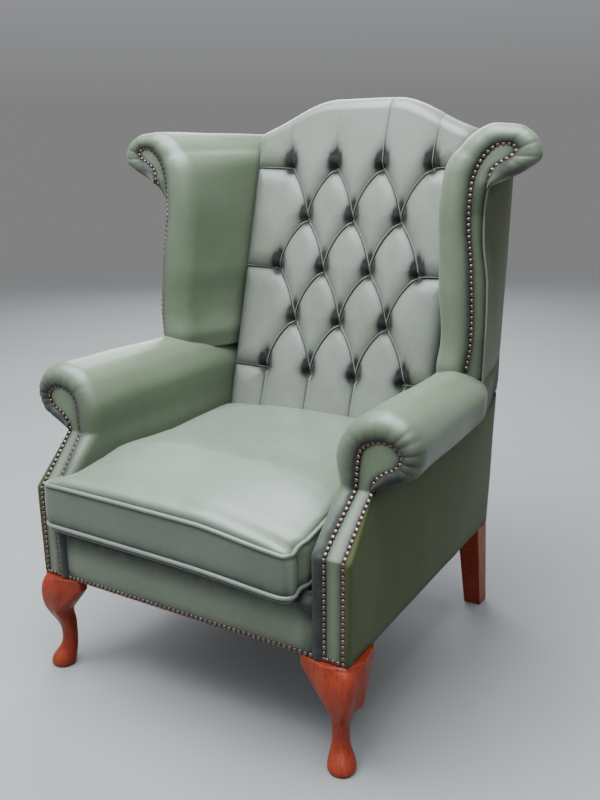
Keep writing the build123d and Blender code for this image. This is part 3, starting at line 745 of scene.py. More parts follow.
# Wing: rim, its line of nails, and the wing at the outside back
WING_ROWS = (
    ((298, 552), (342, 566), (250, 552)),
    ((294, 640), (350, 640), (250, 640)),
    ((288, 760), (342, 765), (250, 760)),
    ((282, 860), (332, 852), (250, 860)),
    ((286, 912), (335, 905), (250, 912)),
    ((303, 958), (347, 940), (250, 962)),
    ((330, 988), (364, 961), (252, 988)),
    ((370, 1005), (380, 970), (264, 1001)),
    ((415, 1002), (397, 971), (286, 1000)),
    ((450, 978), (410, 961), (299, 990)),
    ((459, 950), (403, 951), (304, 975)),
    ((430, 925), (380, 938), (302, 962)),
    ((392, 908), (368, 925), (298, 956)),
    ((366, 898), (364, 908), (294, 954)),
)
# Outer edge of the wing's facing, from the arm to the tip of the scroll
WING_FACING_OUTER = (
    (378, 545), (378, 640), (375, 730), (363, 810), (361, 860), (365, 900),
    (370, 927), (382, 939), (403, 951), (410, 961), (397, 971),
)
# The part of that edge below the scroll, and the inner line of the wing's nails
WING_EDGE = WING_FACING_OUTER[:6]
WING_NAILS = tuple(row[1] for row in WING_ROWS[:9])


# Columns of a scrolled pad's grid that face forwards
RIM_COLUMNS = slice(4, 14)


def padded_rim(nail, rim, back_way, reach, count):
    """Lines from the nails over a padded rim: each dips, swells forward and turns back."""
    start = math.radians(-38)
    turn = np.linspace(start, math.pi / 2, count)
    out = rim - nail
    width = np.linalg.norm(out, axis=1, keepdims=True)
    out = out / np.maximum(width, 1e-9)
    half = width / (1 - math.sin(start))
    rise = np.sin(turn) - math.sin(start)
    fall = np.cos(turn) - math.cos(start)
    return (
        nail[:, None] + out[:, None] * half[:, None] * rise[None, :, None]
        - back_way[:, None] * reach[:, None, None] * fall[None, :, None]
    )


def run_back(start, way_points, count):
    """Lines from a row of points through further rows, evenly stepped."""
    stations = [start, *way_points]
    lengths = [0.0]
    for before, after in zip(stations, stations[1:]):
        lengths.append(lengths[-1] + float(np.mean(np.linalg.norm(after - before, axis=1))))
    place = np.linspace(0.0, lengths[-1], count)[1:]
    stack = np.stack(stations, axis=1)
    result = np.empty((len(start), count - 1, 3))
    for axis in range(3):
        for row in range(len(start)):
            result[row, :, axis] = np.interp(place, lengths, stack[row, :, axis])
    return result


def gather(grid, centre, creases):
    """Radial creases round a scroll's centre."""
    dx = grid[..., 0] - centre[0]
    dz = grid[..., 2] - centre[1]
    angle = np.degrees(np.arctan2(dz, dx))
    total = np.zeros(grid.shape[:2])
    for place, depth, width in creases:
        away = (angle - place + 180.0) % 360.0 - 180.0
        total += depth * hump(away, width)
    return total


# Gathers round the scrolls: angle, depth and width in degrees
ARM_GATHERS = (
    (150, 0.8, 5), (121, 0.5, 9), (96, 0.4, 4), (66, 0.7, 3), (44, 1.3, 2.5),
    (29, 1.6, 2.2), (11, 2.0, 2.4), (-4, 2.2, 2.2), (-19, 1.5, 2.6), (-40, 1.0, 4),
)
WING_GATHERS = (
    (140, 0.5, 9), (88, 0.5, 7), (52, 0.8, 4), (22, 1.2, 3), (-2, 1.4, 3), (-28, 1.0, 4),
)


def rim_share(steps, count):
    """How much the gathers show along each line: on the padded rim only."""
    share = np.zeros(count)
    share[:steps] = np.sin(np.linspace(0.5, math.pi, steps))
    return share[None, :]


def push_out(grid, height, inner_rows):
    """Moves points out of a pad, whose first rows face the seat behind the rim."""
    normal = grid_normals(grid)
    outwards = 1.0 if np.mean(normal[:inner_rows, 40:, 0]) < 0 else -1.0
    return grid + normal * outwards * height[..., None]


def arm_grid():
    """Right arm's pad in millimetres, with its antiquing and painted shade."""
    table = np.array(ARM_ROWS, float)
    lines, rim_steps, run_steps = 190, 22, 64
    flat = smooth_through(table.reshape(len(table), -1), lines)
    rim, nail, wing, back = np.split(flat, 4, axis=1)
    nail3 = at_depth(nail, front_y(nail[:, 1]))
    rim3 = at_depth(rim, front_y(rim[:, 1]))
    wing3 = at_depth(wing, WING_FRONT)
    back3 = at_depth(back, outer_back_y(back[:, 1]) - 12.0)
    reach = np.interp(rim[:, 1], [370, 455, 520], [15, 24, 30])
    front = padded_rim(nail3, rim3, unit(wing3 - rim3), reach, rim_steps)
    rest = run_back(front[:, -1], [wing3, back3], run_steps)
    grid = np.concatenate([front, rest], axis=1)
    depth = np.linspace(0, 1, grid.shape[1])[None, :]
    scroll = ease(nail[:, 1], 470, 500)[:, None]
    scroll_centre, fill, uneven = (334.0, 515.0), 7.0, 1.2
    gathers = gather(grid, scroll_centre, ARM_GATHERS)
    creases = gathers * rim_share(rim_steps, grid.shape[1]) * scroll
    inside = ease(-nail[:, 0], -300, -285)[:, None]
    swell = fill * np.sin(math.pi * np.clip(depth * 1.1, 0, 1)) * inside
    grid = push_out(grid, swell - creases + sway(grid * MM, uneven, 3), 40)
    from_nails = np.linalg.norm(grid - nail3[:, None], axis=2)
    # Darker round the nails; painted shade under the scroll, in its gathers, low down beside the
    # cushion and by the lower nails, towards the rear and on the roll's outer side.
    rub = 1.15 * fade(from_nails, 11.0) + 0.40 * fade(from_nails, 34.0)
    shade_under_scroll = ease(-rim[:, 1], -505, -462)[:, None] * ease(rim[:, 0], 300, 340)[:, None]
    rub += 0.75 * shade_under_scroll + 0.16 * creases
    x, y, z = np.moveaxis(grid, 2, 0)
    rub += 0.2 * ease(-z, -450, -415) * (x < 285) + 0.3 * ease(y, 140, 190)
    rub += 0.75 * ease(-z, -385, -355) * (from_nails < 45)
    rub += 0.22 * ease(x, 355, 398)
    rub += 0.4 * ease(y, -60, 60) * ease(-z, -560, -520) * (x > 290)
    return grid, np.clip(rub, 0, 1)


def beside_back(start, end):
    """Points where the wing's inner face meets the inside back, drawn in so that no gap shows."""
    before_back, inner_half = 40.0, 247.0
    y = inner_back_y(start[:, 2]) - before_back
    share = np.clip((y - start[:, 1]) / (end[:, 1] - start[:, 1]), 0.2, 0.8)
    points = start + (end - start) * share[:, None]
    face = 1 - ease(start[:, 2], 940.0, 995.0)
    face[np.argmax(start[:, 2]):] = 0.0
    points[:, 0] -= face * np.maximum(points[:, 0] - inner_half, 0.0)
    return points


def wing_grid():
    """Right wing's pad in millimetres, with its antiquing and painted shade."""
    table = np.array(WING_ROWS, float)
    lines, rim_steps, run_steps = 210, 24, 44
    flat = smooth_through(table.reshape(len(table), -1), lines)
    rim, nail, back = np.split(flat, 3, axis=1)
    nail3 = at_depth(nail, wing_y(nail[:, 1]))
    rim3 = at_depth(rim, wing_y(rim[:, 1]))
    back3 = at_depth(back, outer_back_y(back[:, 1]) - 2.0)
    reach = np.interp(rim[:, 1], [900, 960], [34, 28])
    beside = beside_back(rim3, back3)
    front = padded_rim(nail3, rim3, unit(beside - rim3), reach, rim_steps)
    rest = run_back(front[:, -1], [beside, back3], run_steps)
    grid = np.concatenate([front, rest], axis=1)
    scroll = ease(nail[:, 1], 925, 950)[:, None]
    scroll_centre, fill, uneven = (388.0, 952.0), 9.0, 1.2
    gathers = gather(grid, scroll_centre, WING_GATHERS)
    creases = gathers * rim_share(rim_steps, grid.shape[1]) * scroll
    depth = np.linspace(0, 1, grid.shape[1])[None, :]
    inside = ease(-nail[:, 0], -352, -345)[:, None] * (1 - ease(rim[:, 1], 930, 985))[:, None]
    swell = fill * np.sin(math.pi * np.clip(depth * 1.05, 0, 1)) * inside
    grid = push_out(grid, swell - creases + sway(grid * MM, uneven, 5), 60)
    from_nails = np.linalg.norm(grid - nail3[:, None], axis=2)
    # Darker round the nails; painted shade under the scroll, in its gathers, where the wing meets the
    # back and low down where it meets the arm.
    rub = 1.25 * fade(from_nails, 10.0) + 0.25 * fade(from_nails, 30.0)
    shade_under_scroll = ease(-rim[:, 1], -955, -915)[:, None] * ease(rim[:, 0], 380, 420)[:, None]
    rub += 0.7 * shade_under_scroll + 0.10 * creases
    x, y, z = np.moveaxis(grid, 2, 0)
    seam = y - (inner_back_y(z) - 45.0)
    rub += 0.7 * ease(seam, -24, 8) * (1 - ease(x, 262, 290)) * (1 - ease(z, 940, 985))
    rub += 0.4 * ease(-z, -600, -575) * (x < 330)
    return grid, np.clip(rub, 0, 1)


def facing_grid(inner, outer, place, rise, count):
    """Narrow facing between two edges that meet at the top of the scroll, slightly domed."""
    left = smooth_through(inner, 400)
    right = smooth_through(outer, 400)
    top = min(left[:, 1].max(), right[:, 1].max())
    heights = np.linspace(left[0, 1], top - 0.2, 170)
    across = np.linspace(0, 1, count)
    left_x = np.interp(heights, left[:, 1], left[:, 0])
    right_x = np.interp(heights, right[:, 1], right[:, 0])
    x = left_x[:, None] + (right_x - left_x)[:, None] * across
    z = np.repeat(heights[:, None], count, axis=1)
    dome = rise * np.clip(1 - (2 * across - 1) ** 4, 0, 1)[None, :]
    near = np.minimum(x - left_x[:, None], right_x[:, None] - x)
    # Painted shade along both edges, where the padded rims curve in over the facing.
    rub = 1.4 * fade(near, 8.0) + 0.05
    x, y = place(x, z)
    return np.stack([x, y + 3.0 - dome, z], axis=2), np.clip(rub, 0, 1)


def outside_arm_grid():
    """Right outside arm: from the outer nails round the front corner and along the side."""
    lines = 60
    share = np.linspace(0, 1, lines)
    outer = smooth_through(ARM_FACING_OUTER[:4], lines)
    top_front, top_back = 462.0, 474.0
    z_front = BASE_FOOT + share * (top_front - BASE_FOOT)
    z_back = BASE_FOOT + share * (top_back - BASE_FOOT)
    nail_x = np.interp(z_front, outer[:, 1], outer[:, 0])
    y_front = front_y(z_front)
    corner = np.stack([outer_x(y_front), y_front, z_front], axis=1)
    nail3 = np.stack([nail_x, y_front + 1.0, z_front], axis=1)
    back3 = np.stack([np.full(lines, outer_x(REAR)), outer_back_y(z_back) - 1.0, z_back], axis=1)
    front = padded_rim(nail3, corner, unit(back3 - corner), np.full(lines, 7.0), 14)
    rest = run_back(front[:, -1], [back3], 90)
    grid = np.concatenate([front, rest], axis=1)
    along = np.linspace(0, 1, grid.shape[1])[None, :]
    puff = 5.0 * np.sin(math.pi * share)[:, None] ** 0.6 * np.sin(math.pi * along) ** 0.5
    grid[..., 0] += puff + sway(grid * MM, 1.0, 11)
    from_nails = np.linalg.norm(grid - nail3[:, None], axis=2)
    # Darker next to the nails; painted shade under the roll at the top and at the foot.
    rub = 0.9 * fade(from_nails, 5.0)
    rub += 0.45 * ease(share, 0.86, 1.0)[:, None] + 0.25 * ease(1 - share, 0.93, 1.0)[:, None]
    return grid, np.clip(rub, 0, 1)


def outside_wing_grid():
    """Right outside wing: from the piped edge of the facing to the outside back."""
    lines = 70
    edge = smooth_through(WING_EDGE, lines)
    share = np.linspace(0, 1, lines)
    x, y = turned(edge[:, 0], edge[:, 1])
    front = np.stack([x, y + 2.0, edge[:, 1]], axis=1)
    foot, top = 480.0, 958.0
    z_back = foot + share * (top - foot)
    back = np.stack([np.full(lines, outer_x(REAR)), outer_back_y(z_back) - 1.0, z_back], axis=1)
    grid = np.concatenate([front[:, None], run_back(front, [back], 70)], axis=1)
    along = np.linspace(0, 1, grid.shape[1])[None, :]
    puff = 4.0 * np.sin(math.pi * share)[:, None] ** 0.6 * np.sin(math.pi * along) ** 0.6
    grid[..., 0] += puff + sway(grid * MM, 1.0, 13)
    depth = 300.0
    # Painted shade along the piped front edge and under the scroll at the top.
    rub = 0.6 * fade(along * depth, 7.0) + 0.55 * ease(share, 0.9, 1.0)[:, None]
    return grid, np.clip(np.broadcast_to(rub, grid.shape[:2]).copy(), 0, 1)


def outside_back_grid():
    """Outside back, from the foot to the crest, its top corners rounded like the wings' ends."""
    across = np.sin(np.linspace(-1, 1, 120) * math.pi / 2)
    up = np.linspace(0, 1, 130)
    half = outer_x(REAR) - 1.0
    x = half * across
    corner, drop = 21.0, 34.0
    bend = np.clip((np.abs(x) - half + corner) / corner, 0.0, 1.0)
    top = crest_z(x, back_settings().crest / MM - 14.0) + 9.0 * ease(np.abs(x), 250.0, 264.0)
    top -= drop * (1 - np.sqrt(1 - bend**2))
    z = BASE_FOOT + up[:, None] * (top - BASE_FOOT)[None, :]
    x = np.repeat(x[None, :], len(up), axis=0)
    near = np.minimum(half - np.abs(x), np.minimum(z - BASE_FOOT, top[None, :] - z))
    puff = 6.0 * np.sqrt(np.clip(1 - (1 - np.clip(near / 26.0, 0, 1)) ** 2, 0, 1))
    y = outer_back_y(z) + puff - 3.0
    grid = np.stack([x, y, z], axis=2)
    grid[..., 1] += sway(grid * MM, 1.2, 17)
    # Painted shade along the edges, where the panel turns in at its seams.
    rub = 0.8 * fade(near, 6.0) + 0.25 * fade(near, 30.0)
    return grid, np.clip(rub, 0, 1)


def border_grid():
    """Front border under the cushion: padded, tucked in at both ends."""
    across = np.linspace(-1, 1, 150)
    up = np.linspace(0, 1, 44)
    half, puffed_half, height = 285.0, 268.0, 108.0
    x = np.repeat((half * across)[None, :], len(up), axis=0)
    z = np.repeat((BASE_FOOT + up * height)[:, None], len(across), axis=1)
    near_foot = z - BASE_FOOT
    near_end = puffed_half - np.abs(x)
    puff = 6.0 * ease(near_foot, 0, 26) * ease(near_end, -6, 20)
    roll = 14.0 * ease(z, 285, 303)
    tuck = 10.0 * ease(-near_end, -4, 12)
    grid = np.stack([x, SEAT_FRONT + 1.0 - puff + roll + tuck, z], axis=2)
    grid[..., 1] += sway(grid * MM, 0.9, 19)
    # Slightly darker overall; painted shade at the foot and in the tucked ends, and painted shadow of
    # the cushion along the top.
    rub = 0.12 + 0.9 * fade(near_foot, 14.0) + 0.5 * ease(-near_end, -30, 0)
    rub += 0.85 * ease(z, 240, 292)
    return grid, np.clip(rub, 0, 1)


# Buttoned back: drop of the crest's roll in front and behind
CREST_ROLL = 34.0
CREST_REAR = 15.0


def back_axes():
    """Origin, up-slope and outward directions of the inside back, in millimetres."""
    settings = back_settings()
    lean = math.atan(settings.rake)
    origin = np.array([0.0, settings.foot_y / MM - settings.rake * DECK, 0.0])
    up = np.array([0.0, math.sin(lean), math.cos(lean)])
    out = np.array([0.0, -math.cos(lean), math.sin(lean)])
    return origin, up, out


def on_back(u, v, n):
    """Points of the back from across, up the slope and out of it."""
    origin, up, out = back_axes()
    across = np.array([1.0, 0.0, 0.0])
    return origin + u[..., None] * across + v[..., None] * up + n[..., None] * out


def back_foot():
    """Distance up the slope of the deck."""
    return DECK * math.sqrt(1 + back_settings().rake**2)


def row_height(row):
    """Distance up the slope of a row of buttons."""
    settings = back_settings()
    return back_foot() + (settings.first_row + row * settings.row_pitch) / MM


def row_columns(row):
    """Columns of a row's buttons in half pitches. Odd rows have one fewer."""
    count = back_settings().in_row - row % 2
    return [2 * i - count + 1 for i in range(count)]


def button_spots():
    """Places of the buttons, across and up the slope."""
    settings = back_settings()
    half, aside = settings.pitch / MM / 2, settings.aside / MM
    return [
        (column * half + aside, row_height(row))
        for row in range(settings.rows)
        for column in row_columns(row)
    ]


def back_half(v):
    """Half width of the inside back up the slope."""
    foot, top = back_foot(), 1101.0
    foot_half, widening, flare = 239.0, 10.0, 9.0
    return foot_half + widening * (v - foot) / (top - foot) + flare * ease(v, 965.0, 1015.0)


def pleat_lines():
    """Pleats as fine lines with their depths: diagonals between buttons, and runs to the edges."""
    settings = back_settings()
    half, bow = settings.pitch / MM / 2, settings.bow / MM
    shallow, deep = settings.pleat / MM, settings.sink / MM
    t = np.linspace(0, 1, 9)[:, None]
    ends = np.abs(2 * t[:, 0] - 1) ** 3
    lines = []
    for row in range(1, settings.rows):
        for column in row_columns(row):
            for lean in (-1, 1):
                if column + lean not in row_columns(row - 1):
                    continue
                high = np.array([column * half, row_height(row)])
                low = np.array([(column + lean) * half, row_height(row - 1)])
                side = np.array([lean * (high[1] - low[1]), half]) / np.hypot(half, high[1] - low[1])
                path = high + (low - high) * t + side * bow * (4 * t * (1 - t))
                lines.append((path, shallow + (deep - shallow) * ends, "diagonal"))
    taper = 1 - t[:, 0]

    def add_straight(start, run, shallowest, power, kind):
        lines.append((start + run * t, shallowest + (deep - shallowest) * taper**power, kind))

    top, foot = settings.rows - 1, 0
    splay, crest_reach, foot_reach, edge_reach = 4.0, 152.0, 150.0, 13.0
    for column in row_columns(top):
        start = np.array([column * half, row_height(top)])
        run = np.array([column * splay, crest_reach])
        add_straight(start, run, 5.0 if column > 0 else 1.0, 5, "crest")
    for column in row_columns(foot):
        start = np.array([column * half, row_height(foot)])
        add_straight(start, np.array([0.0, -foot_reach]), 9.0, 3, "edge")
    for row in range(0, settings.rows, 2):
        for side in (-1, 1):
            start = np.array([side * max(row_columns(row)) * half, row_height(row)])
            end = np.array([side * (back_half(start[1]) + edge_reach), start[1] + 2.0])
            add_straight(start, end - start, 15.0, 2, "edge")
    aside = np.array([settings.aside / MM, 0.0])
    return [(path + aside, depth, kind) for path, depth, kind in lines]


def line_distance(u, v, path, depth):
    """Distance from points to a fine line, and the line's depth at the nearest place."""
    best = np.full(u.shape, 1e9)
    value = np.zeros(u.shape)
    for a, b, da, db in zip(path, path[1:], depth, depth[1:]):
        run = b - a
        t = np.clip(((u - a[0]) * run[0] + (v - a[1]) * run[1]) / (run @ run), 0, 1)
        d = np.hypot(u - a[0] - t * run[0], v - a[1] - t * run[1])
        closer = d < best
        best = np.where(closer, d, best)
        value = np.where(closer, da + t * (db - da), value)
    return best, value


def back_height(u, v):
    """Height of the buttoned leather over the pad's rear face, and its antiquing and painted shade."""
    settings = back_settings()
    full, deep = settings.swell / MM, settings.sink / MM
    half_width = 42.0
    sunk = np.zeros(u.shape)
    rub = np.zeros(u.shape)
    for path, depth, _ in pleat_lines():
        lo, hi = path.min(axis=0) - half_width, path.max(axis=0) + half_width
        near = (u > lo[0]) & (u < hi[0]) & (v > lo[1]) & (v < hi[1])
        distance, value = line_distance(u[near], v[near], path, depth)
        share = np.clip(np.sqrt(distance**2 + 1.2) / half_width, 0, 1)
        pillow = np.sqrt(np.clip(1 - (1 - share) ** 2, 0, 1))
        sunk[near] += (value * (1 - pillow)) ** 6
        # Painted shade: a thin dark line along each pleat, with a softer spread beside it, darker where
        # the pleat is deeper.
        line = 0.95 * hump(distance, 1.9) + 0.30 * fade(distance, 10.0)
        rub[near] = np.maximum(rub[near], line * np.clip(value / deep * 1.6, 0.1, 1.0))
    for bu, bv in button_spots():
        du, dv = u - bu, v - bv
        distance = np.hypot(du, dv)
        sunk += (deep * hump(distance, 13.0)) ** 6
        # Painted shade: near-black pits round the buttons, reaching further up the slope, a softer dark
        # halo, and dark streaks of shade running up from each button.
        pit_shade = hump(dv - 8.0, np.where(dv > 8.0, 30.0, 19.0))
        pit_shade *= hump(du, 15.5 - 3.0 * ease(dv, 10, 40))
        rub = np.maximum(rub, 1.9 * pit_shade)
        rub += 0.38 * hump(du, 27.0) * hump(dv - 6.0, 34.0)
        for offset, reach in ((-9.0, 44.0), (1.0, 68.0), (10.0, 48.0)):
            shade_streak = hump(du - offset * (1 + dv / 90.0), 3.6) * ease(dv, 4, 14)
            rub += 0.42 * shade_streak * (1 - ease(dv, 0.4 * reach, reach))
    edge = np.maximum(back_half(v) - np.abs(u), 0)
    side = np.clip(1 - edge / 34.0, 0, 1)
    sunk += (26.0 * (1 - np.sqrt(1 - side**2))) ** 6
    # Painted shade along the side seams, and painted shadow of the wings spreading in from both sides,
    # weaker higher up.
    rub = np.maximum(rub, 0.95 * fade(edge, 9.0))
    rub += 0.5 * fade(edge, 26.0) * (1 - 0.6 * ease(v, 720, 980))
    return full - sunk ** (1 / 6), np.clip(rub, 0, 1)


def back_grid():
    """Points of the buttoned leather with its roll, its antiquing and painted shade, and the rows below
    the roll.
    """
    step = back_settings().step / MM
    foot = back_foot() - 18.0
    width, height, crest_half = 500.0, 780.0, 249.0
    across = np.linspace(-1, 1, int(width / step))
    front = np.linspace(0, 1, int(height / step))
    v = foot + front[:, None] * (crest_start(across * crest_half) - foot)[None, :]
    u = across[None, :] * back_half(v)
    n, rub = back_height(u, v)
    turn = np.linspace(0, math.pi, 40)[1:]
    end = n[-1]
    centre = (end + crest_seam(u[-1])) / 2
    over_n = centre[None, :] + (end - centre)[None, :] * np.cos(turn)[:, None]
    drop = np.where(turn < math.pi / 2, CREST_ROLL, CREST_REAR)
    over_v = (v[-1] + CREST_ROLL)[None, :] - (drop * (1 - np.sin(turn)))[:, None]
    over_u = np.repeat(u[-1][None, :], len(turn), axis=0)
    u = np.concatenate([u, over_u])
    v = np.concatenate([v, over_v])
    n = np.concatenate([n, over_n])
    # The painted shade of the top row fades out over the roll.
    rub = np.concatenate([rub, rub[-1][None, :] * np.cos(turn / 2)[:, None] ** 2])
    grid = on_back(u, v, n)
    _, _, out = back_axes()
    grid = (grid + out * sway(grid * MM, 1.0, 23)[..., None]) * MM
    return grid, rub, len(front)


def back_piece():
    """The buttoned inside back, closed behind by a fan of faces and at both ends of the roll."""
    grid, rub, front_rows = back_grid()
    rows, columns = grid.shape[:2]
    loop = rim_faces(rows, columns, 0)[:, 0]
    row, column = np.divmod(loop, columns)
    on_end = (row >= front_rows) & (row < rows - 1) & ((column == 0) | (column == columns - 1))
    loop = loop[~on_end]
    roll_rows = np.arange(front_rows - 1, rows)
    ends = [(roll_rows * columns + c).tolist() for c in (0, columns - 1)]
    middle = rows * columns
    fan = np.stack([loop, np.roll(loop, -1), np.full(len(loop), middle)], axis=1)
    behind = on_back(np.zeros(1), np.array([720.0]), np.array([-4.0])) * MM
    points = np.concatenate([grid.reshape(-1, 3), behind])
    faces = grid_faces(rows, columns).tolist() + fan[:, ::-1].tolist() + ends
    # The point behind the back is painted fully dark, as shade.
    rub = np.concatenate([rub.ravel(), [1.0]])
    return make_piece("buttoned_back", points, faces, rub, "antiqued_back")


def crest_start(u):
    """Distance up the slope where the crest's roll begins."""
    settings = back_settings()
    return crest_z(u, settings.crest / MM * math.sqrt(1 + settings.rake**2) - 9.5) - CREST_ROLL


def crest_seam(u):
    """Place behind the slope where the crest's roll meets the outside back."""
    across_slope = 0.963
    z = crest_z(u, back_settings().crest / MM) - CREST_REAR
    return -across_slope * (outer_back_y(z) - inner_back_y(z)) - 1.0


def over_crest(u, v):
    """Points of the leather at distances up the slope, carried over the crest's roll."""
    start = crest_start(u)
    height, _ = back_height(u, np.minimum(v, start))
    turn = np.clip((v - start) / (1.2 * CREST_ROLL), 0.0, math.pi / 2)
    middle = (height + crest_seam(u)) / 2
    rolled = middle + (height - middle) * np.cos(turn)
    return np.minimum(v, start) + CREST_ROLL * np.sin(turn), rolled


def fold_lines():
    """Lines of the folded lips along the pleats, on the upper side of each."""
    lines = []
    for path, _, kind in pleat_lines():
        if kind == "crest" and path[0, 0] < 0:
            continue
        fine = smooth_through(path, 40)
        way = unit(np.gradient(fine, axis=0))
        side = np.stack([-way[:, 1], way[:, 0]], axis=1)
        side *= np.where(side[:, 1:] < -1e-6, -1.0, 1.0)
        above, sunk = 2.4, 0.5
        place = fine + side * above
        v, height = over_crest(place[:, 0], place[:, 1])
        line = on_back(place[:, 0], v, height - sunk)
        lines.append((line * MM, np.zeros_like(line), False))
    return lines


# Geometry Nodes trees

def new_tree(name, inputs):
    """A Geometry Nodes tree with its inputs and a geometry output."""
    tree = bpy.data.node_groups.new(name, "GeometryNodeTree")
    tree.interface.new_socket("Geometry", in_out="INPUT", socket_type="NodeSocketGeometry")
    for label, kind in inputs:
        tree.interface.new_socket(label, in_out="INPUT", socket_type=kind)
    tree.interface.new_socket("Geometry", in_out="OUTPUT", socket_type="NodeSocketGeometry")
    return tree, tree.nodes.new("NodeGroupInput"), tree.nodes.new("NodeGroupOutput")


def add_node(tree, kind, settings=None, sockets=None):
    """A node of a Geometry Nodes tree, with settings first and then values or links."""
    node = tree.nodes.new(kind)
    for key, value in (settings or {}).items():
        setattr(node, key, value)
    for key, value in (sockets or {}).items():
        if isinstance(value, bpy.types.NodeSocket):
            tree.links.new(value, node.inputs[key])
        else:
            node.inputs[key].default_value = value
    return node


def line_to_curve(tree, given):
    """The given mesh line as a curve."""
    curve = add_node(tree, "GeometryNodeMeshToCurve", None, {"Mesh": given.outputs["Geometry"]})
    return curve.outputs["Curve"]


def add_domes(tree, given, points, segments, rings, height):
    """Low domes on points, standing along the points' out attribute."""
    settings = {"data_type": "FLOAT_VECTOR"}
    out = add_node(tree, "GeometryNodeInputNamedAttribute", settings, {"Name": "out"})
    sockets = {"Vector": out.outputs["Attribute"]}
    turn = add_node(tree, "FunctionNodeAlignRotationToVector", {"axis": "Z"}, sockets)
    sockets = {"Segments": segments, "Rings": rings, "Radius": given.outputs["Radius"]}
    ball = add_node(tree, "GeometryNodeMeshUVSphere", None, sockets)
    sockets = {"Geometry": ball.outputs["Mesh"], "Scale": (1.0, 1.0, height)}
    dome = add_node(tree, "GeometryNodeTransform", None, sockets)
    sockets = {"Geometry": dome.outputs["Geometry"]}
    smooth = add_node(tree, "GeometryNodeSetShadeSmooth", None, sockets)
    domes = add_node(tree, "GeometryNodeInstanceOnPoints", None, {
        "Points": points,
        "Instance": smooth.outputs["Geometry"],
        "Rotation": turn.outputs["Rotation"],
    })
    return domes.outputs["Instances"]


def end_tree(tree, given, result, shape):
    """Makes a tree's shape a plain mesh in the given material and hands it out."""
    real = add_node(tree, "GeometryNodeRealizeInstances", None, {"Geometry": shape})
    sockets = {"Geometry": real.outputs["Geometry"], "Material": given.outputs["Material"]}
    paint = add_node(tree, "GeometryNodeSetMaterial", None, sockets)
    tree.links.new(paint.outputs["Geometry"], result.inputs[0])
    return tree


# Inputs of the trees
RADIUS_INPUT = ("Radius", "NodeSocketFloat")
PITCH_INPUT = ("Pitch", "NodeSocketFloat")
MATERIAL_INPUT = ("Material", "NodeSocketMaterial")


def stud_tree():
    """Studs along a line: domes at even steps."""
    tree, given, result = new_tree("Studs", (PITCH_INPUT, RADIUS_INPUT, MATERIAL_INPUT))
    sockets = {"Curve": line_to_curve(tree, given), "Length": given.outputs["Pitch"]}
    even = add_node(tree, "GeometryNodeResampleCurve", {"mode": "LENGTH"}, sockets)
    studs = add_domes(tree, given, even.outputs["Curve"], 10, 6, 0.55)
    return end_tree(tree, given, result, studs)


def cord_tree():
    """Piping: a round cord along a line."""
    tree, given, result = new_tree("Piping", (RADIUS_INPUT, MATERIAL_INPUT))
    sockets = {"Resolution": 10, "Radius": given.outputs["Radius"]}
    circle = add_node(tree, "GeometryNodeCurvePrimitiveCircle", None, sockets)
    tube = add_node(tree, "GeometryNodeCurveToMesh", None, {
        "Curve": line_to_curve(tree, given),
        "Profile Curve": circle.outputs["Curve"],
        "Fill Caps": True,
    })
    smooth = add_node(tree, "GeometryNodeSetShadeSmooth", None, {"Geometry": tube.outputs["Mesh"]})
    return end_tree(tree, given, result, smooth.outputs["Geometry"])


def button_tree():
    """Covered buttons: a low dome on each point."""
    tree, given, result = new_tree("Buttons", (RADIUS_INPUT, MATERIAL_INPUT))
    buttons = add_domes(tree, given, given.outputs["Geometry"], 28, 14, 0.5)
    return end_tree(tree, given, result, buttons)


def grow(name, lines, tree, values):
    """Runs a tree on lines of points with their outward directions, and keeps a plain mesh."""
    points, edges, outs = [], [], []
    for line, out, closed in lines:
        start = len(points)
        points.extend(line.tolist())
        outs.extend(np.asarray(out).tolist())
        edges.extend((start + i, start + i + 1) for i in range(len(line) - 1))
        if closed:
            edges.append((start + len(line) - 1, start))
    mesh = bpy.data.meshes.new(name + "_lines")
    mesh.from_pydata(points, edges, [])
    layer = mesh.attributes.new("out", "FLOAT_VECTOR", "POINT")
    layer.data.foreach_set("vector", np.asarray(outs, np.float32).ravel())
    source = add_object(name + "_lines", mesh)
    modifier = source.modifiers.new("Trim", "NODES")
    modifier.node_group = tree
    for item in tree.interface.items_tree:
        if item.in_out == "INPUT" and item.name in values:
            modifier[item.identifier] = values[item.name]
    ready = source.evaluated_get(bpy.context.evaluated_depsgraph_get())
    plain = bpy.data.meshes.new_from_object(ready)
    source.modifiers.remove(modifier)
    bpy.data.objects.remove(source)
    plain.name = name
    return add_object(name, plain)


def shared_tree(name, maker):
    """A tree that several pieces use, made once."""
    return bpy.data.node_groups.get(name) or maker()


# Seat cushion, and copies of solids

def cushion_seam(z_front, z_side, z_back):
    """Seam round the cushion in millimetres: across the nose, along the arms and the back."""
    corner = 26.0
    front = SEAT_FRONT - 40.0
    half, waist, tail = 279.0, 259.0, 243.0
    bend = np.linspace(0, math.pi / 2, 10)
    right = [
        (half + corner * (math.sin(a) - 1), front + corner * (1 - math.cos(a)), z_front)
        for a in bend
    ]
    right += [(half, SEAT_FRONT - 8.0, z_front + 1.0), (waist + 4, SEAT_FRONT + 14.0, z_front + 5.0)]
    right += [(waist, SEAT_FRONT + 90.0, (z_front + z_side) / 2 + 3.0), (250.0, -100.0, z_side)]
    right += [(tail, 90.0, (z_side + z_back) / 2), (tail - 22.0, 118.0, z_back)]
    left = [(-x, y, z) for x, y, z in reversed(right)]
    line = np.array(right + left + [right[0]], float)
    return even_steps(smooth_through(line, 700), 420)


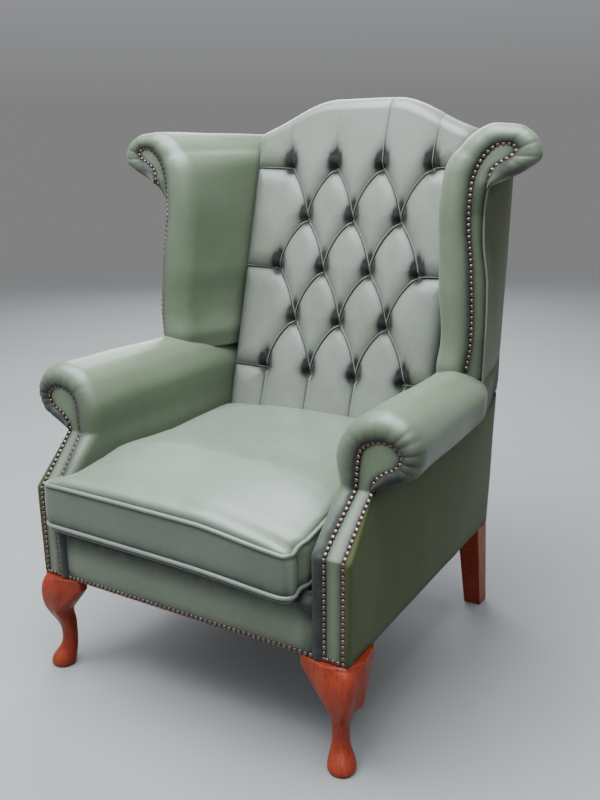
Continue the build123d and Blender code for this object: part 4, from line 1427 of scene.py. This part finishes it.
def nose_slack(points):
    """The cushion's nose sits a little askew, as it was left."""
    points = points.copy()
    share = ease(-points[:, 1], 250.0, 345.0)
    turn = -math.radians(1.3)
    points[:, 1] += share * points[:, 0] * turn
    spread = np.where(points[:, 0] < 0, 0.055, -0.065) * ease(-points[:, 1], 328.0, 352.0)
    droop = 6.0 + 7.0 * (points[:, 2] - 305.0) / 95.0
    points[:, 2] -= share * ease(points[:, 0], 60.0, 260.0) * droop
    points[:, 0] = points[:, 0] * (1 + spread) - 6.0 * share
    return points


def inflate(piece):
    """Fills a closed mesh by cloth simulation and keeps the result, held near its start."""
    settings = bpy.context.scene.armchair_cushion
    before = point_places(piece.data)
    cloth = piece.modifiers.new("Filling", "CLOTH")
    cloth.settings.use_pressure = True
    cloth.settings.uniform_pressure_force = settings.pressure
    cloth.settings.effector_weights.gravity = 0.0
    cloth.settings.quality = 6
    cloth.settings.tension_stiffness = 25.0
    cloth.settings.compression_stiffness = 25.0
    cloth.settings.bending_stiffness = 2.0
    cloth.point_cache.frame_start = 1
    cloth.point_cache.frame_end = settings.frames
    scene = bpy.context.scene
    for number in range(1, settings.frames + 1):
        scene.frame_set(number)
    ready = piece.evaluated_get(bpy.context.evaluated_depsgraph_get())
    after = point_places(ready.data)
    piece.modifiers.remove(cloth)
    scene.frame_set(1)
    move = after - before
    length = np.linalg.norm(move, axis=1, keepdims=True)
    move *= np.minimum(1.0, settings.swell / np.maximum(length, 1e-9))
    ends = np.array([edge.vertices[:] for edge in piece.data.edges])
    count = np.bincount(ends.ravel(), minlength=len(move))[:, None]
    smoothing = 50
    for _ in range(smoothing):
        total = np.zeros_like(move)
        np.add.at(total, ends[:, 0], move[ends[:, 1]])
        np.add.at(total, ends[:, 1], move[ends[:, 0]])
        move = (move + total / count) / 2
    move_points(piece.data, before + move)


def ease_mesh(piece, iterations):
    """Smooths a piece's mesh and keeps the result."""
    smooth = piece.modifiers.new("Ease", "SMOOTH")
    smooth.factor = 0.5
    smooth.iterations = iterations
    keep_shape(piece)


def keep_shape(piece):
    """Turns a piece's modifiers into its plain mesh."""
    ready = piece.evaluated_get(bpy.context.evaluated_depsgraph_get())
    mesh = bpy.data.meshes.new_from_object(ready)
    piece.modifiers.clear()
    piece.data = mesh


def copy_node(name, node):
    """A merged copy of a solid's mesh as a new object."""
    mesh = frame["nodes"][node].data.copy()
    mesh.name = name
    clean(mesh, 1e-5)
    mesh.materials.clear()
    return add_object(name, mesh)


def even_out(piece, size):
    """Remakes a mesh in even faces of one size."""
    remesh = piece.modifiers.new("Even", "REMESH")
    remesh.mode = "VOXEL"
    remesh.voxel_size = size


# Operators

class ARMCHAIR_OT_back(Operator):
    """Makes the buttoned inside back and its buttons"""

    bl_idname = "armchair.back"
    bl_label = "Buttoned Back"

    def execute(self, context):
        piece = back_piece()
        seat_piece(piece, "chair", "green_leather", "inside_back")
        settings = back_settings()
        spots = np.array(button_spots())
        _, _, out = back_axes()
        height, _ = back_height(spots[:, 0], spots[:, 1])
        places = on_back(spots[:, 0], spots[:, 1], height) * MM
        lines = [(place[None, :], out[None, :], False) for place in places]
        # The buttons take the darker copy of the leather, painted for the shade of their pits.
        values = {"Radius": settings.button, "Material": finish("antiqued_button")}
        buttons = grow("covered_buttons", lines, shared_tree("Buttons", button_tree), values)
        seat_piece(buttons, "chair", "button_leather", "back_buttons")
        values = {"Radius": settings.lip, "Material": finish("antiqued_back")}
        lips = grow("pleat_lips", fold_lines(), shared_tree("Piping", cord_tree), values)
        seat_piece(lips, "chair", "green_leather")
        return {"FINISHED"}


class ARMCHAIR_OT_arms(Operator):
    """Makes the arms' rolls, facings and outside panels"""

    bl_idname = "armchair.arms"
    bl_label = "Scrolled Arms"

    def execute(self, context):
        front = (0, -1, 0)
        facing = facing_grid(ARM_NAILS, ARM_FACING_OUTER, lambda x, z: (x, front_y(z)), 3.0, 17)
        for side in (-1, 1):
            name = side_name(side)
            # The outside panels take the darker copy of the leather, painted for the shade on faces
            # turned from the light.
            green, dull = "antiqued_green", "antiqued_side"
            pad, panel = name + "_arm_pad", name + "_outside_arm"
            roll = add_cover(name + "_arm_roll", arm_grid(), side, front, green, pad, RIM_COLUMNS)
            self.shade_behind_wing(roll)
            add_cover(name + "_arm_front", facing, side, front, green, name + "_arm_facing")
            add_cover(name + "_arm_side", outside_arm_grid(), side, (side, 0, 0), dull, panel)
        return {"FINISHED"}

    def shade_behind_wing(self, roll):
        """Painted shade: the outer side of the roll behind the wing takes the darker copy of the
        leather that the outside panels have.
        """
        mesh = roll.data
        mesh.materials.append(finish("antiqued_side"))
        places = np.array([face.center for face in mesh.polygons]) / MM
        turns = np.array([face.normal for face in mesh.polygons])
        wing_rear, outer_half = 84.0, 290.0
        outer = turns[:, 0] * np.sign(places[:, 0]) > -0.1
        behind = (places[:, 1] > wing_rear) & (np.abs(places[:, 0]) > outer_half) & outer
        mesh.polygons.foreach_set("material_index", behind.astype(np.int32))


class ARMCHAIR_OT_wings(Operator):
    """Makes the wings' rolls, facings and outside panels"""

    bl_idname = "armchair.wings"
    bl_label = "Scrolled Wings"

    def execute(self, context):
        front = (0, -1, 0)
        facing = facing_grid(WING_NAILS, WING_FACING_OUTER, turned, 3.5, 17)
        for side in (-1, 1):
            name = side_name(side)
            # The outside panels take the darker copy of the leather, painted for the shade on faces
            # turned from the light.
            green, dull = "antiqued_green", "antiqued_side"
            pad, panel = name + "_wing_pad", name + "_outside_wing"
            roll = add_cover(name + "_wing_roll", wing_grid(), side, front, green, pad, RIM_COLUMNS)
            add_cover(name + "_wing_front", facing, side, front, green, name + "_wing_facing")
            add_cover(name + "_wing_side", outside_wing_grid(), side, (side, 0, 0), dull, panel)
            self.add_stile(name, side)
        return {"FINISHED"}

    def add_stile(self, name, side):
        """The wing's post, planed off behind the turned facing."""
        node = name + "_wing_post"
        piece = copy_node(name + "_wing_stile", node)
        work = bmesh.new()
        work.from_mesh(piece.data)
        low, high, step = 0.58, 0.94, 0.03
        for height in np.arange(low, high, step):
            parts = list(work.verts) + list(work.edges) + list(work.faces)
            bmesh.ops.bisect_plane(work, geom=parts, plane_co=(0, 0, height), plane_no=(0, 0, 1))
        work.to_mesh(piece.data)
        work.free()
        points = point_places(piece.data) / MM
        x, z = np.abs(points[:, 0]), points[:, 2]
        edge = smooth_through(WING_EDGE, 60)
        limit, _ = turned(np.interp(z, edge[:, 1], edge[:, 0]), z)
        scroll_foot, side_gap, front_gap = 905.0, 7.0, 8.0
        x = np.where(z < scroll_foot, np.minimum(x, limit - side_gap), x)
        width = np.maximum(x - wing_nail_x(z), 0)
        facing = wing_y(z) + WING_SLOPE * wing_turn(z) * width
        points[:, 1] = np.maximum(points[:, 1], facing + front_gap)
        points[:, 0] = side * x
        move_points(piece.data, points * MM)
        piece.data.materials.append(finish("beech"))
        seat_piece(piece, "chair", "frame_wood", node)


class ARMCHAIR_OT_panels(Operator):
    """Makes the front border and the outside back"""

    bl_idname = "armchair.panels"
    bl_label = "Border and Outside Back"

    def execute(self, context):
        border = add_cover("front_band", border_grid(), 1, (0, -1, 0), "antiqued_green", "front_border")
        # The outside back takes the darker copy of the leather, painted for shade.
        add_cover("back_cover", outside_back_grid(), 1, (0, 1, 0), "antiqued_side", "outside_back")
        return {"FINISHED"}


class ARMCHAIR_OT_cushion(Operator):
    """Makes the loose seat cushion and its piping"""

    bl_idname = "armchair.cushion"
    bl_label = "Seat Cushion"

    def execute(self, context):
        settings = context.scene.armchair_cushion
        piece = copy_node("loose_cushion", "seat_cushion")
        even_out(piece, settings.voxel)
        ease_mesh(piece, 14)
        inflate(piece)
        self.finish_cover(piece)
        soften(piece)
        seat_piece(piece, "cushion", "green_leather", "seat_cushion")
        self.add_piping(piece)
        return {"FINISHED"}

    def seams(self):
        """Top and bottom seams in millimetres."""
        return [cushion_seam(393.0, 408.0, 420.0), cushion_seam(311.0, 309.0, 309.0)]

    def finish_cover(self, piece):
        """Draws the leather in along the seams, and marks its antiquing and painted shade."""
        points = point_places(piece.data)
        normals = np.array([v.normal for v in piece.data.vertices])
        tree = BVHTree.FromObject(piece, bpy.context.evaluated_depsgraph_get())
        near = np.full(len(points), 1e9)
        for seam in self.seams():
            on = np.array([tree.find_nearest(Vector(p))[0] for p in seam * MM])
            for part in np.array_split(on, 7):
                away = np.linalg.norm(points[:, None] - part[None], axis=2)
                near = np.minimum(near, away.min(axis=1))
        near /= MM
        draw, width, uneven = 2.2 * MM, 8.0, 1.2 * MM
        points -= normals * (draw * hump(near, width))[:, None]
        points += normals * sway(points[:, None], uneven, 29)
        points = nose_slack(points / MM) * MM
        move_points(piece.data, points)
        # Darker along the seams; painted shade on the lower part and on the faces turned forwards.
        rub = 0.55 * fade(near, 5.0) + 0.35 * ease(-points[:, 2] / MM, -345, -300)
        rub += 0.42 * ease(-normals[:, 1], 0.45, 0.9)
        mark_rub_and_shade(piece.data, np.clip(rub, 0, 1))
        shade_smooth(piece.data)
        piece.data.materials.clear()
        piece.data.materials.append(finish("antiqued_seat"))

    def add_piping(self, piece):
        """Lays piping on the seams of the finished cushion."""
        tree = BVHTree.FromObject(piece, bpy.context.evaluated_depsgraph_get())
        radius = trim_settings().piping
        lines = []
        for seam in self.seams():
            spots = []
            for point in nose_slack(seam)[:-1] * MM:
                place, normal, _, _ = tree.find_nearest(Vector(point))
                spots.append(np.array(place) + np.array(normal) * radius * 0.5)
            spots = np.array(spots)
            for _ in range(4):
                spots = (np.roll(spots, 1, axis=0) + 2 * spots + np.roll(spots, -1, axis=0)) / 4
            lines.append((spots, np.zeros_like(spots), True))
        values = {"Radius": radius, "Material": finish("antiqued_seat")}
        piping = grow("cushion_piping", lines, shared_tree("Piping", cord_tree), values)
        seat_piece(piping, "cushion", "green_leather")


class ARMCHAIR_OT_nails(Operator):
    """Drives the brass nails along the arms, the wings and the front border"""

    bl_idname = "armchair.nails"
    bl_label = "Brass Nails"

    def arm_line(self, side):
        """Nails round an arm's facing, standing out of its sloped front."""
        path = smooth_through(ARM_NAILS + ARM_FACING_OUTER[-2::-1], 500)
        path[:, 1] = np.maximum(path[:, 1], BASE_FOOT + 4.0)
        x, z = path.T
        line = np.stack([side * x, front_y(z) + 0.5, z], axis=1)
        sloped = ((z > ARM_KNEE + 2.0) & (z < ARM_NECK - 1.0)).astype(float)
        lean = math.atan2(ARM_NECK - ARM_KNEE, SCROLL_FRONT - SEAT_FRONT)
        forward = -1 + sloped * (1 - math.sin(lean))
        out = np.stack([np.zeros_like(z), forward, sloped * math.cos(lean)], axis=1)
        return line * MM, out, False

    def wing_line(self, side):
        """Nails up a wing's facing and round its scroll."""
        path = smooth_through(WING_NAILS + WING_FACING_OUTER[-2:4:-1], 400)
        x, z = path[path[:, 1] > WING_FOOT + 2.0].T
        low = wing_turn(z)
        x, y = turned(x + 3.0 * low, z)
        line = np.stack([side * x, y + 0.5, z], axis=1)
        out = np.stack([side * 0.8 * low, -1 + 0.4 * low, np.full(len(low), 0.06)], axis=1)
        return line * MM, out, False

    def foot_line(self):
        """Nails along the foot of the front border."""
        count, half = 60, 312.0
        line = np.zeros((count, 3))
        line[:, 0] = np.linspace(-half, half, count)
        line[:, 1:] = SEAT_FRONT - 0.5, BASE_FOOT + 4.5
        return line * MM, np.tile([0.0, -1.0, 0.0], (count, 1)), False

    def execute(self, context):
        lines = []
        for side in (-1, 1):
            lines += [self.arm_line(side), self.wing_line(side)]
        lines.append(self.foot_line())
        trim = trim_settings()
        values = {
            "Pitch": trim.nail_pitch,
            "Radius": trim.nail_radius,
            "Material": finish("antique_brass"),
        }
        nails = grow("brass_nails", lines, shared_tree("Studs", stud_tree), values)
        seat_piece(nails, "chair", "nail_brass")
        return {"FINISHED"}


class ARMCHAIR_OT_wing_piping(Operator):
    """Lays piping along the outer edges of the wings' facings"""

    bl_idname = "armchair.wing_piping"
    bl_label = "Wing Piping"

    def execute(self, context):
        lines = []
        for side in (-1, 1):
            path = smooth_through(WING_EDGE, 120)
            x, y = turned(path[:, 0], path[:, 1])
            line = np.stack([side * x, y + 1.5, path[:, 1]], axis=1)
            lines.append((line * MM, np.zeros_like(line), False))
        values = {"Radius": trim_settings().wing_piping, "Material": finish("antiqued_green")}
        piping = grow("wing_piping", lines, shared_tree("Piping", cord_tree), values)
        seat_piece(piping, "chair", "green_leather")
        return {"FINISHED"}


class ARMCHAIR_OT_frame(Operator):
    """Finishes the legs, the frame, the webbing and the bolts"""

    bl_idname = "armchair.frame"
    bl_label = "Frame and Legs"

    def execute(self, context):
        finishes = {
            "leg_wood": "mahogany",
            "frame_wood": "beech",
            "webbing": "woven_jute",
            "platform_cloth": "woven_platform",
            "dust_cloth": "woven_black",
            "bolt_steel": "plated_steel",
        }
        for part in frame["record"]["subparts"]:
            name = finishes.get(part["material_slot"])
            if name:
                data = frame["nodes"][part["node"]].data
                data.materials.clear()
                data.materials.append(finish(name))
        return {"FINISHED"}


class ARMCHAIR_OT_legs(Operator):
    """Carves the front legs so that their ears flow into the knee"""

    bl_idname = "armchair.legs"
    bl_label = "Cabriole Legs"

    def execute(self, context):
        for name in ("left", "right"):
            node = name + "_front_leg"
            piece = copy_node(name + "_cabriole", node)
            # Swelling and then shrinking the leg fills the corners under its ears.
            fill = 0.016
            for size, move in ((0.0025, fill), (0.003, -fill)):
                even_out(piece, size)
                swell = piece.modifiers.new("Swell", "DISPLACE")
                swell.strength = move
                swell.mid_level = 0.0
            ease_mesh(piece, 16)
            low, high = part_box(node)
            top_band, foot_band = 0.005, 0.0015
            points = point_places(piece.data)
            points[points[:, 2] > high.z - top_band, 2] = high.z
            points[points[:, 2] < low.z + foot_band, 2] = low.z
            move_points(piece.data, points)
            shade_smooth(piece.data)
            piece.data.materials.append(finish("mahogany"))
            seat_piece(piece, "chair", "leg_wood", node)
        return {"FINISHED"}


class ARMCHAIR_OT_cloths(Operator):
    """Stretches the platform cloth over the seat and the dust cloth under it"""

    bl_idname = "armchair.cloths"
    bl_label = "Platform and Dust Cloths"

    def cloth(self, name, node, material, slot, sag):
        """A stretched cloth in place of a thin solid, pulled a little at its tacks."""
        low, high = (np.array(corner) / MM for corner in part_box(node))
        across, along = np.meshgrid(np.linspace(0, 1, 90), np.linspace(0, 1, 100))
        x = low[0] + (high[0] - low[0]) * across
        y = low[1] + (high[1] - low[1]) * along
        inner = np.minimum(np.minimum(across, 1 - across), np.minimum(along, 1 - along))
        spacing, pull = 45.0, 0.6
        tacks = np.cos(x / spacing * math.pi) * np.cos(y / spacing * math.pi)
        tacks *= pull * np.exp(-inner * 18.0)
        z = (low[2] + high[2]) / 2 + (tacks - sag * ease(inner, 0.0, 0.4))
        grid = np.stack([x, y, z], axis=2)
        thick = min(high[2] - low[2], 2.0) * MM
        piece = make_sheet(name, grid * MM, np.zeros(grid.shape[:2]), material, thick)
        seat_piece(piece, "chair", slot, node)

    def execute(self, context):
        self.cloth("platform_cover", "seat_platform", "woven_platform", "platform_cloth", 1.5)
        self.cloth("dust_cloth_cover", "dust_cover", "woven_black", "dust_cloth", 0.0)
        return {"FINISHED"}


class ARMCHAIR_OT_stage(Operator):
    """Makes the floor, the soft lights and the camera"""

    bl_idname = "armchair.stage"
    bl_label = "Stage"

    def execute(self, context):
        self.floor()
        middle = (0.0, 0.0, 0.7)
        self.light("top_light", (-0.3, -0.7, 3.4), (0.0, -0.1, 0.5), 3.0, 460.0, (0.87, 0.94, 1.0))
        self.light("left_light", (-3.0, -3.0, 2.2), middle, 2.4, 25.0)
        self.light("right_light", (2.4, -3.2, 3.0), middle, 2.0, 40.0)
        self.light("rear_light", (-2.2, 3.4, 2.4), (0.0, 0.0, 0.5), 3.0, 160.0)
        self.sky(context.scene)
        self.camera(context.scene)
        return {"FINISHED"}

    def floor(self):
        """A wide round floor that fades out far from the chair."""
        radius = 40.0
        mesh = bpy.data.meshes.new("floor")
        ring = np.linspace(0, 2 * math.pi, 96, endpoint=False)
        points = [(radius * math.cos(a), radius * math.sin(a), 0.0) for a in ring]
        mesh.from_pydata(points, [], [list(range(len(points)))])
        shade_smooth(mesh)
        mesh.materials.append(finish("pale_floor"))
        floor = add_object("floor", mesh)

    def sky(self, scene):
        """A grey world, paler overhead."""
        world = bpy.data.worlds.new("studio")
        world.use_nodes = True
        nodes, links = world.node_tree.nodes, world.node_tree.links
        way = nodes.new("ShaderNodeSeparateXYZ")
        links.new(nodes.new("ShaderNodeTexCoord").outputs["Generated"], way.inputs[0])
        ramp = nodes.new("ShaderNodeValToRGB")
        stops = ((0.05, (0.22, 0.22, 0.22)), (0.75, (0.72, 0.77, 0.85)))
        for stop, (place, tone) in zip(ramp.color_ramp.elements, stops):
            stop.position = place
            stop.color = (*tone, 1.0)
        links.new(way.outputs["Z"], ramp.inputs["Fac"])
        links.new(ramp.outputs["Color"], nodes["Background"].inputs["Color"])
        nodes["Background"].inputs["Strength"].default_value = 1.0
        scene.world = world

    def light(self, name, place, target, size, power, tone=(0.91, 0.96, 1.0)):
        """A square soft light that looks at a point."""
        data = bpy.data.lights.new(name, "AREA")
        data.energy = power
        data.color = tone
        data.size = size
        lamp = add_object(name, data)
        lamp.location = place
        lamp.rotation_euler = (Vector(target) - Vector(place)).to_track_quat("-Z", "Y").to_euler()

    def camera(self, scene):
        """The photograph's view: place, turn, tilt and roll."""
        place = Vector((0.92015, -1.41609, 0.9603))
        turn, tilt, roll = 0.56033, 0.26825, -0.01164
        level = math.cos(tilt)
        ahead = Vector((-math.sin(turn) * level, math.cos(turn) * level, -math.sin(tilt)))
        right = ahead.cross(Vector((0, 0, 1))).normalized()
        up = right.cross(ahead)
        right, up = (
            math.cos(roll) * right + math.sin(roll) * up,
            math.cos(roll) * up - math.sin(roll) * right,
        )
        data = bpy.data.cameras.new("camera")
        data.lens = 40.5
        data.sensor_width = 36.0
        camera = add_object("camera", data)
        matrix = Matrix((right, up, -ahead)).transposed().to_4x4()
        matrix.translation = place
        camera.matrix_world = matrix
        scene.camera = camera


class ARMCHAIR_PT_panel(Panel):
    """Lists the armchair's pieces in the sidebar"""

    bl_label = "Armchair"
    bl_idname = "ARMCHAIR_PT_panel"
    bl_space_type = "VIEW_3D"
    bl_region_type = "UI"
    bl_category = "Armchair"

    def draw(self, context):
        for operator in OPERATORS:
            self.layout.operator(operator.bl_idname)
        for group in GROUPS:
            settings = getattr(context.scene, group)
            for key in settings.bl_rna.properties.keys():
                if key not in ("rna_type", "name"):
                    self.layout.prop(settings, key)


OPERATORS = (
    ARMCHAIR_OT_frame,
    ARMCHAIR_OT_back,
    ARMCHAIR_OT_arms,
    ARMCHAIR_OT_wings,
    ARMCHAIR_OT_panels,
    ARMCHAIR_OT_cushion,
    ARMCHAIR_OT_wing_piping,
    ARMCHAIR_OT_nails,
    ARMCHAIR_OT_legs,
    ARMCHAIR_OT_cloths,
    ARMCHAIR_OT_stage,
)
GROUPS = {
    "armchair_back": BackSettings,
    "armchair_trim": TrimSettings,
    "armchair_cushion": CushionSettings,
    "armchair_finish": FinishSettings,
}


def register():
    """Registers the settings, the operators and the panel."""
    for name, group in GROUPS.items():
        bpy.utils.register_class(group)
        setattr(bpy.types.Scene, name, PointerProperty(type=group))
    for operator in OPERATORS:
        bpy.utils.register_class(operator)
    bpy.utils.register_class(ARMCHAIR_PT_panel)


def unregister():
    """Removes what register added."""
    bpy.utils.unregister_class(ARMCHAIR_PT_panel)
    for operator in reversed(OPERATORS):
        bpy.utils.unregister_class(operator)
    for name, group in GROUPS.items():
        delattr(bpy.types.Scene, name)
        bpy.utils.unregister_class(group)


def main():
    """Builds the chair."""
    register()
    for operator in OPERATORS:
        group, name = operator.bl_idname.split(".")
        getattr(getattr(bpy.ops, group), name)()


if __name__ == "__main__":
    main()
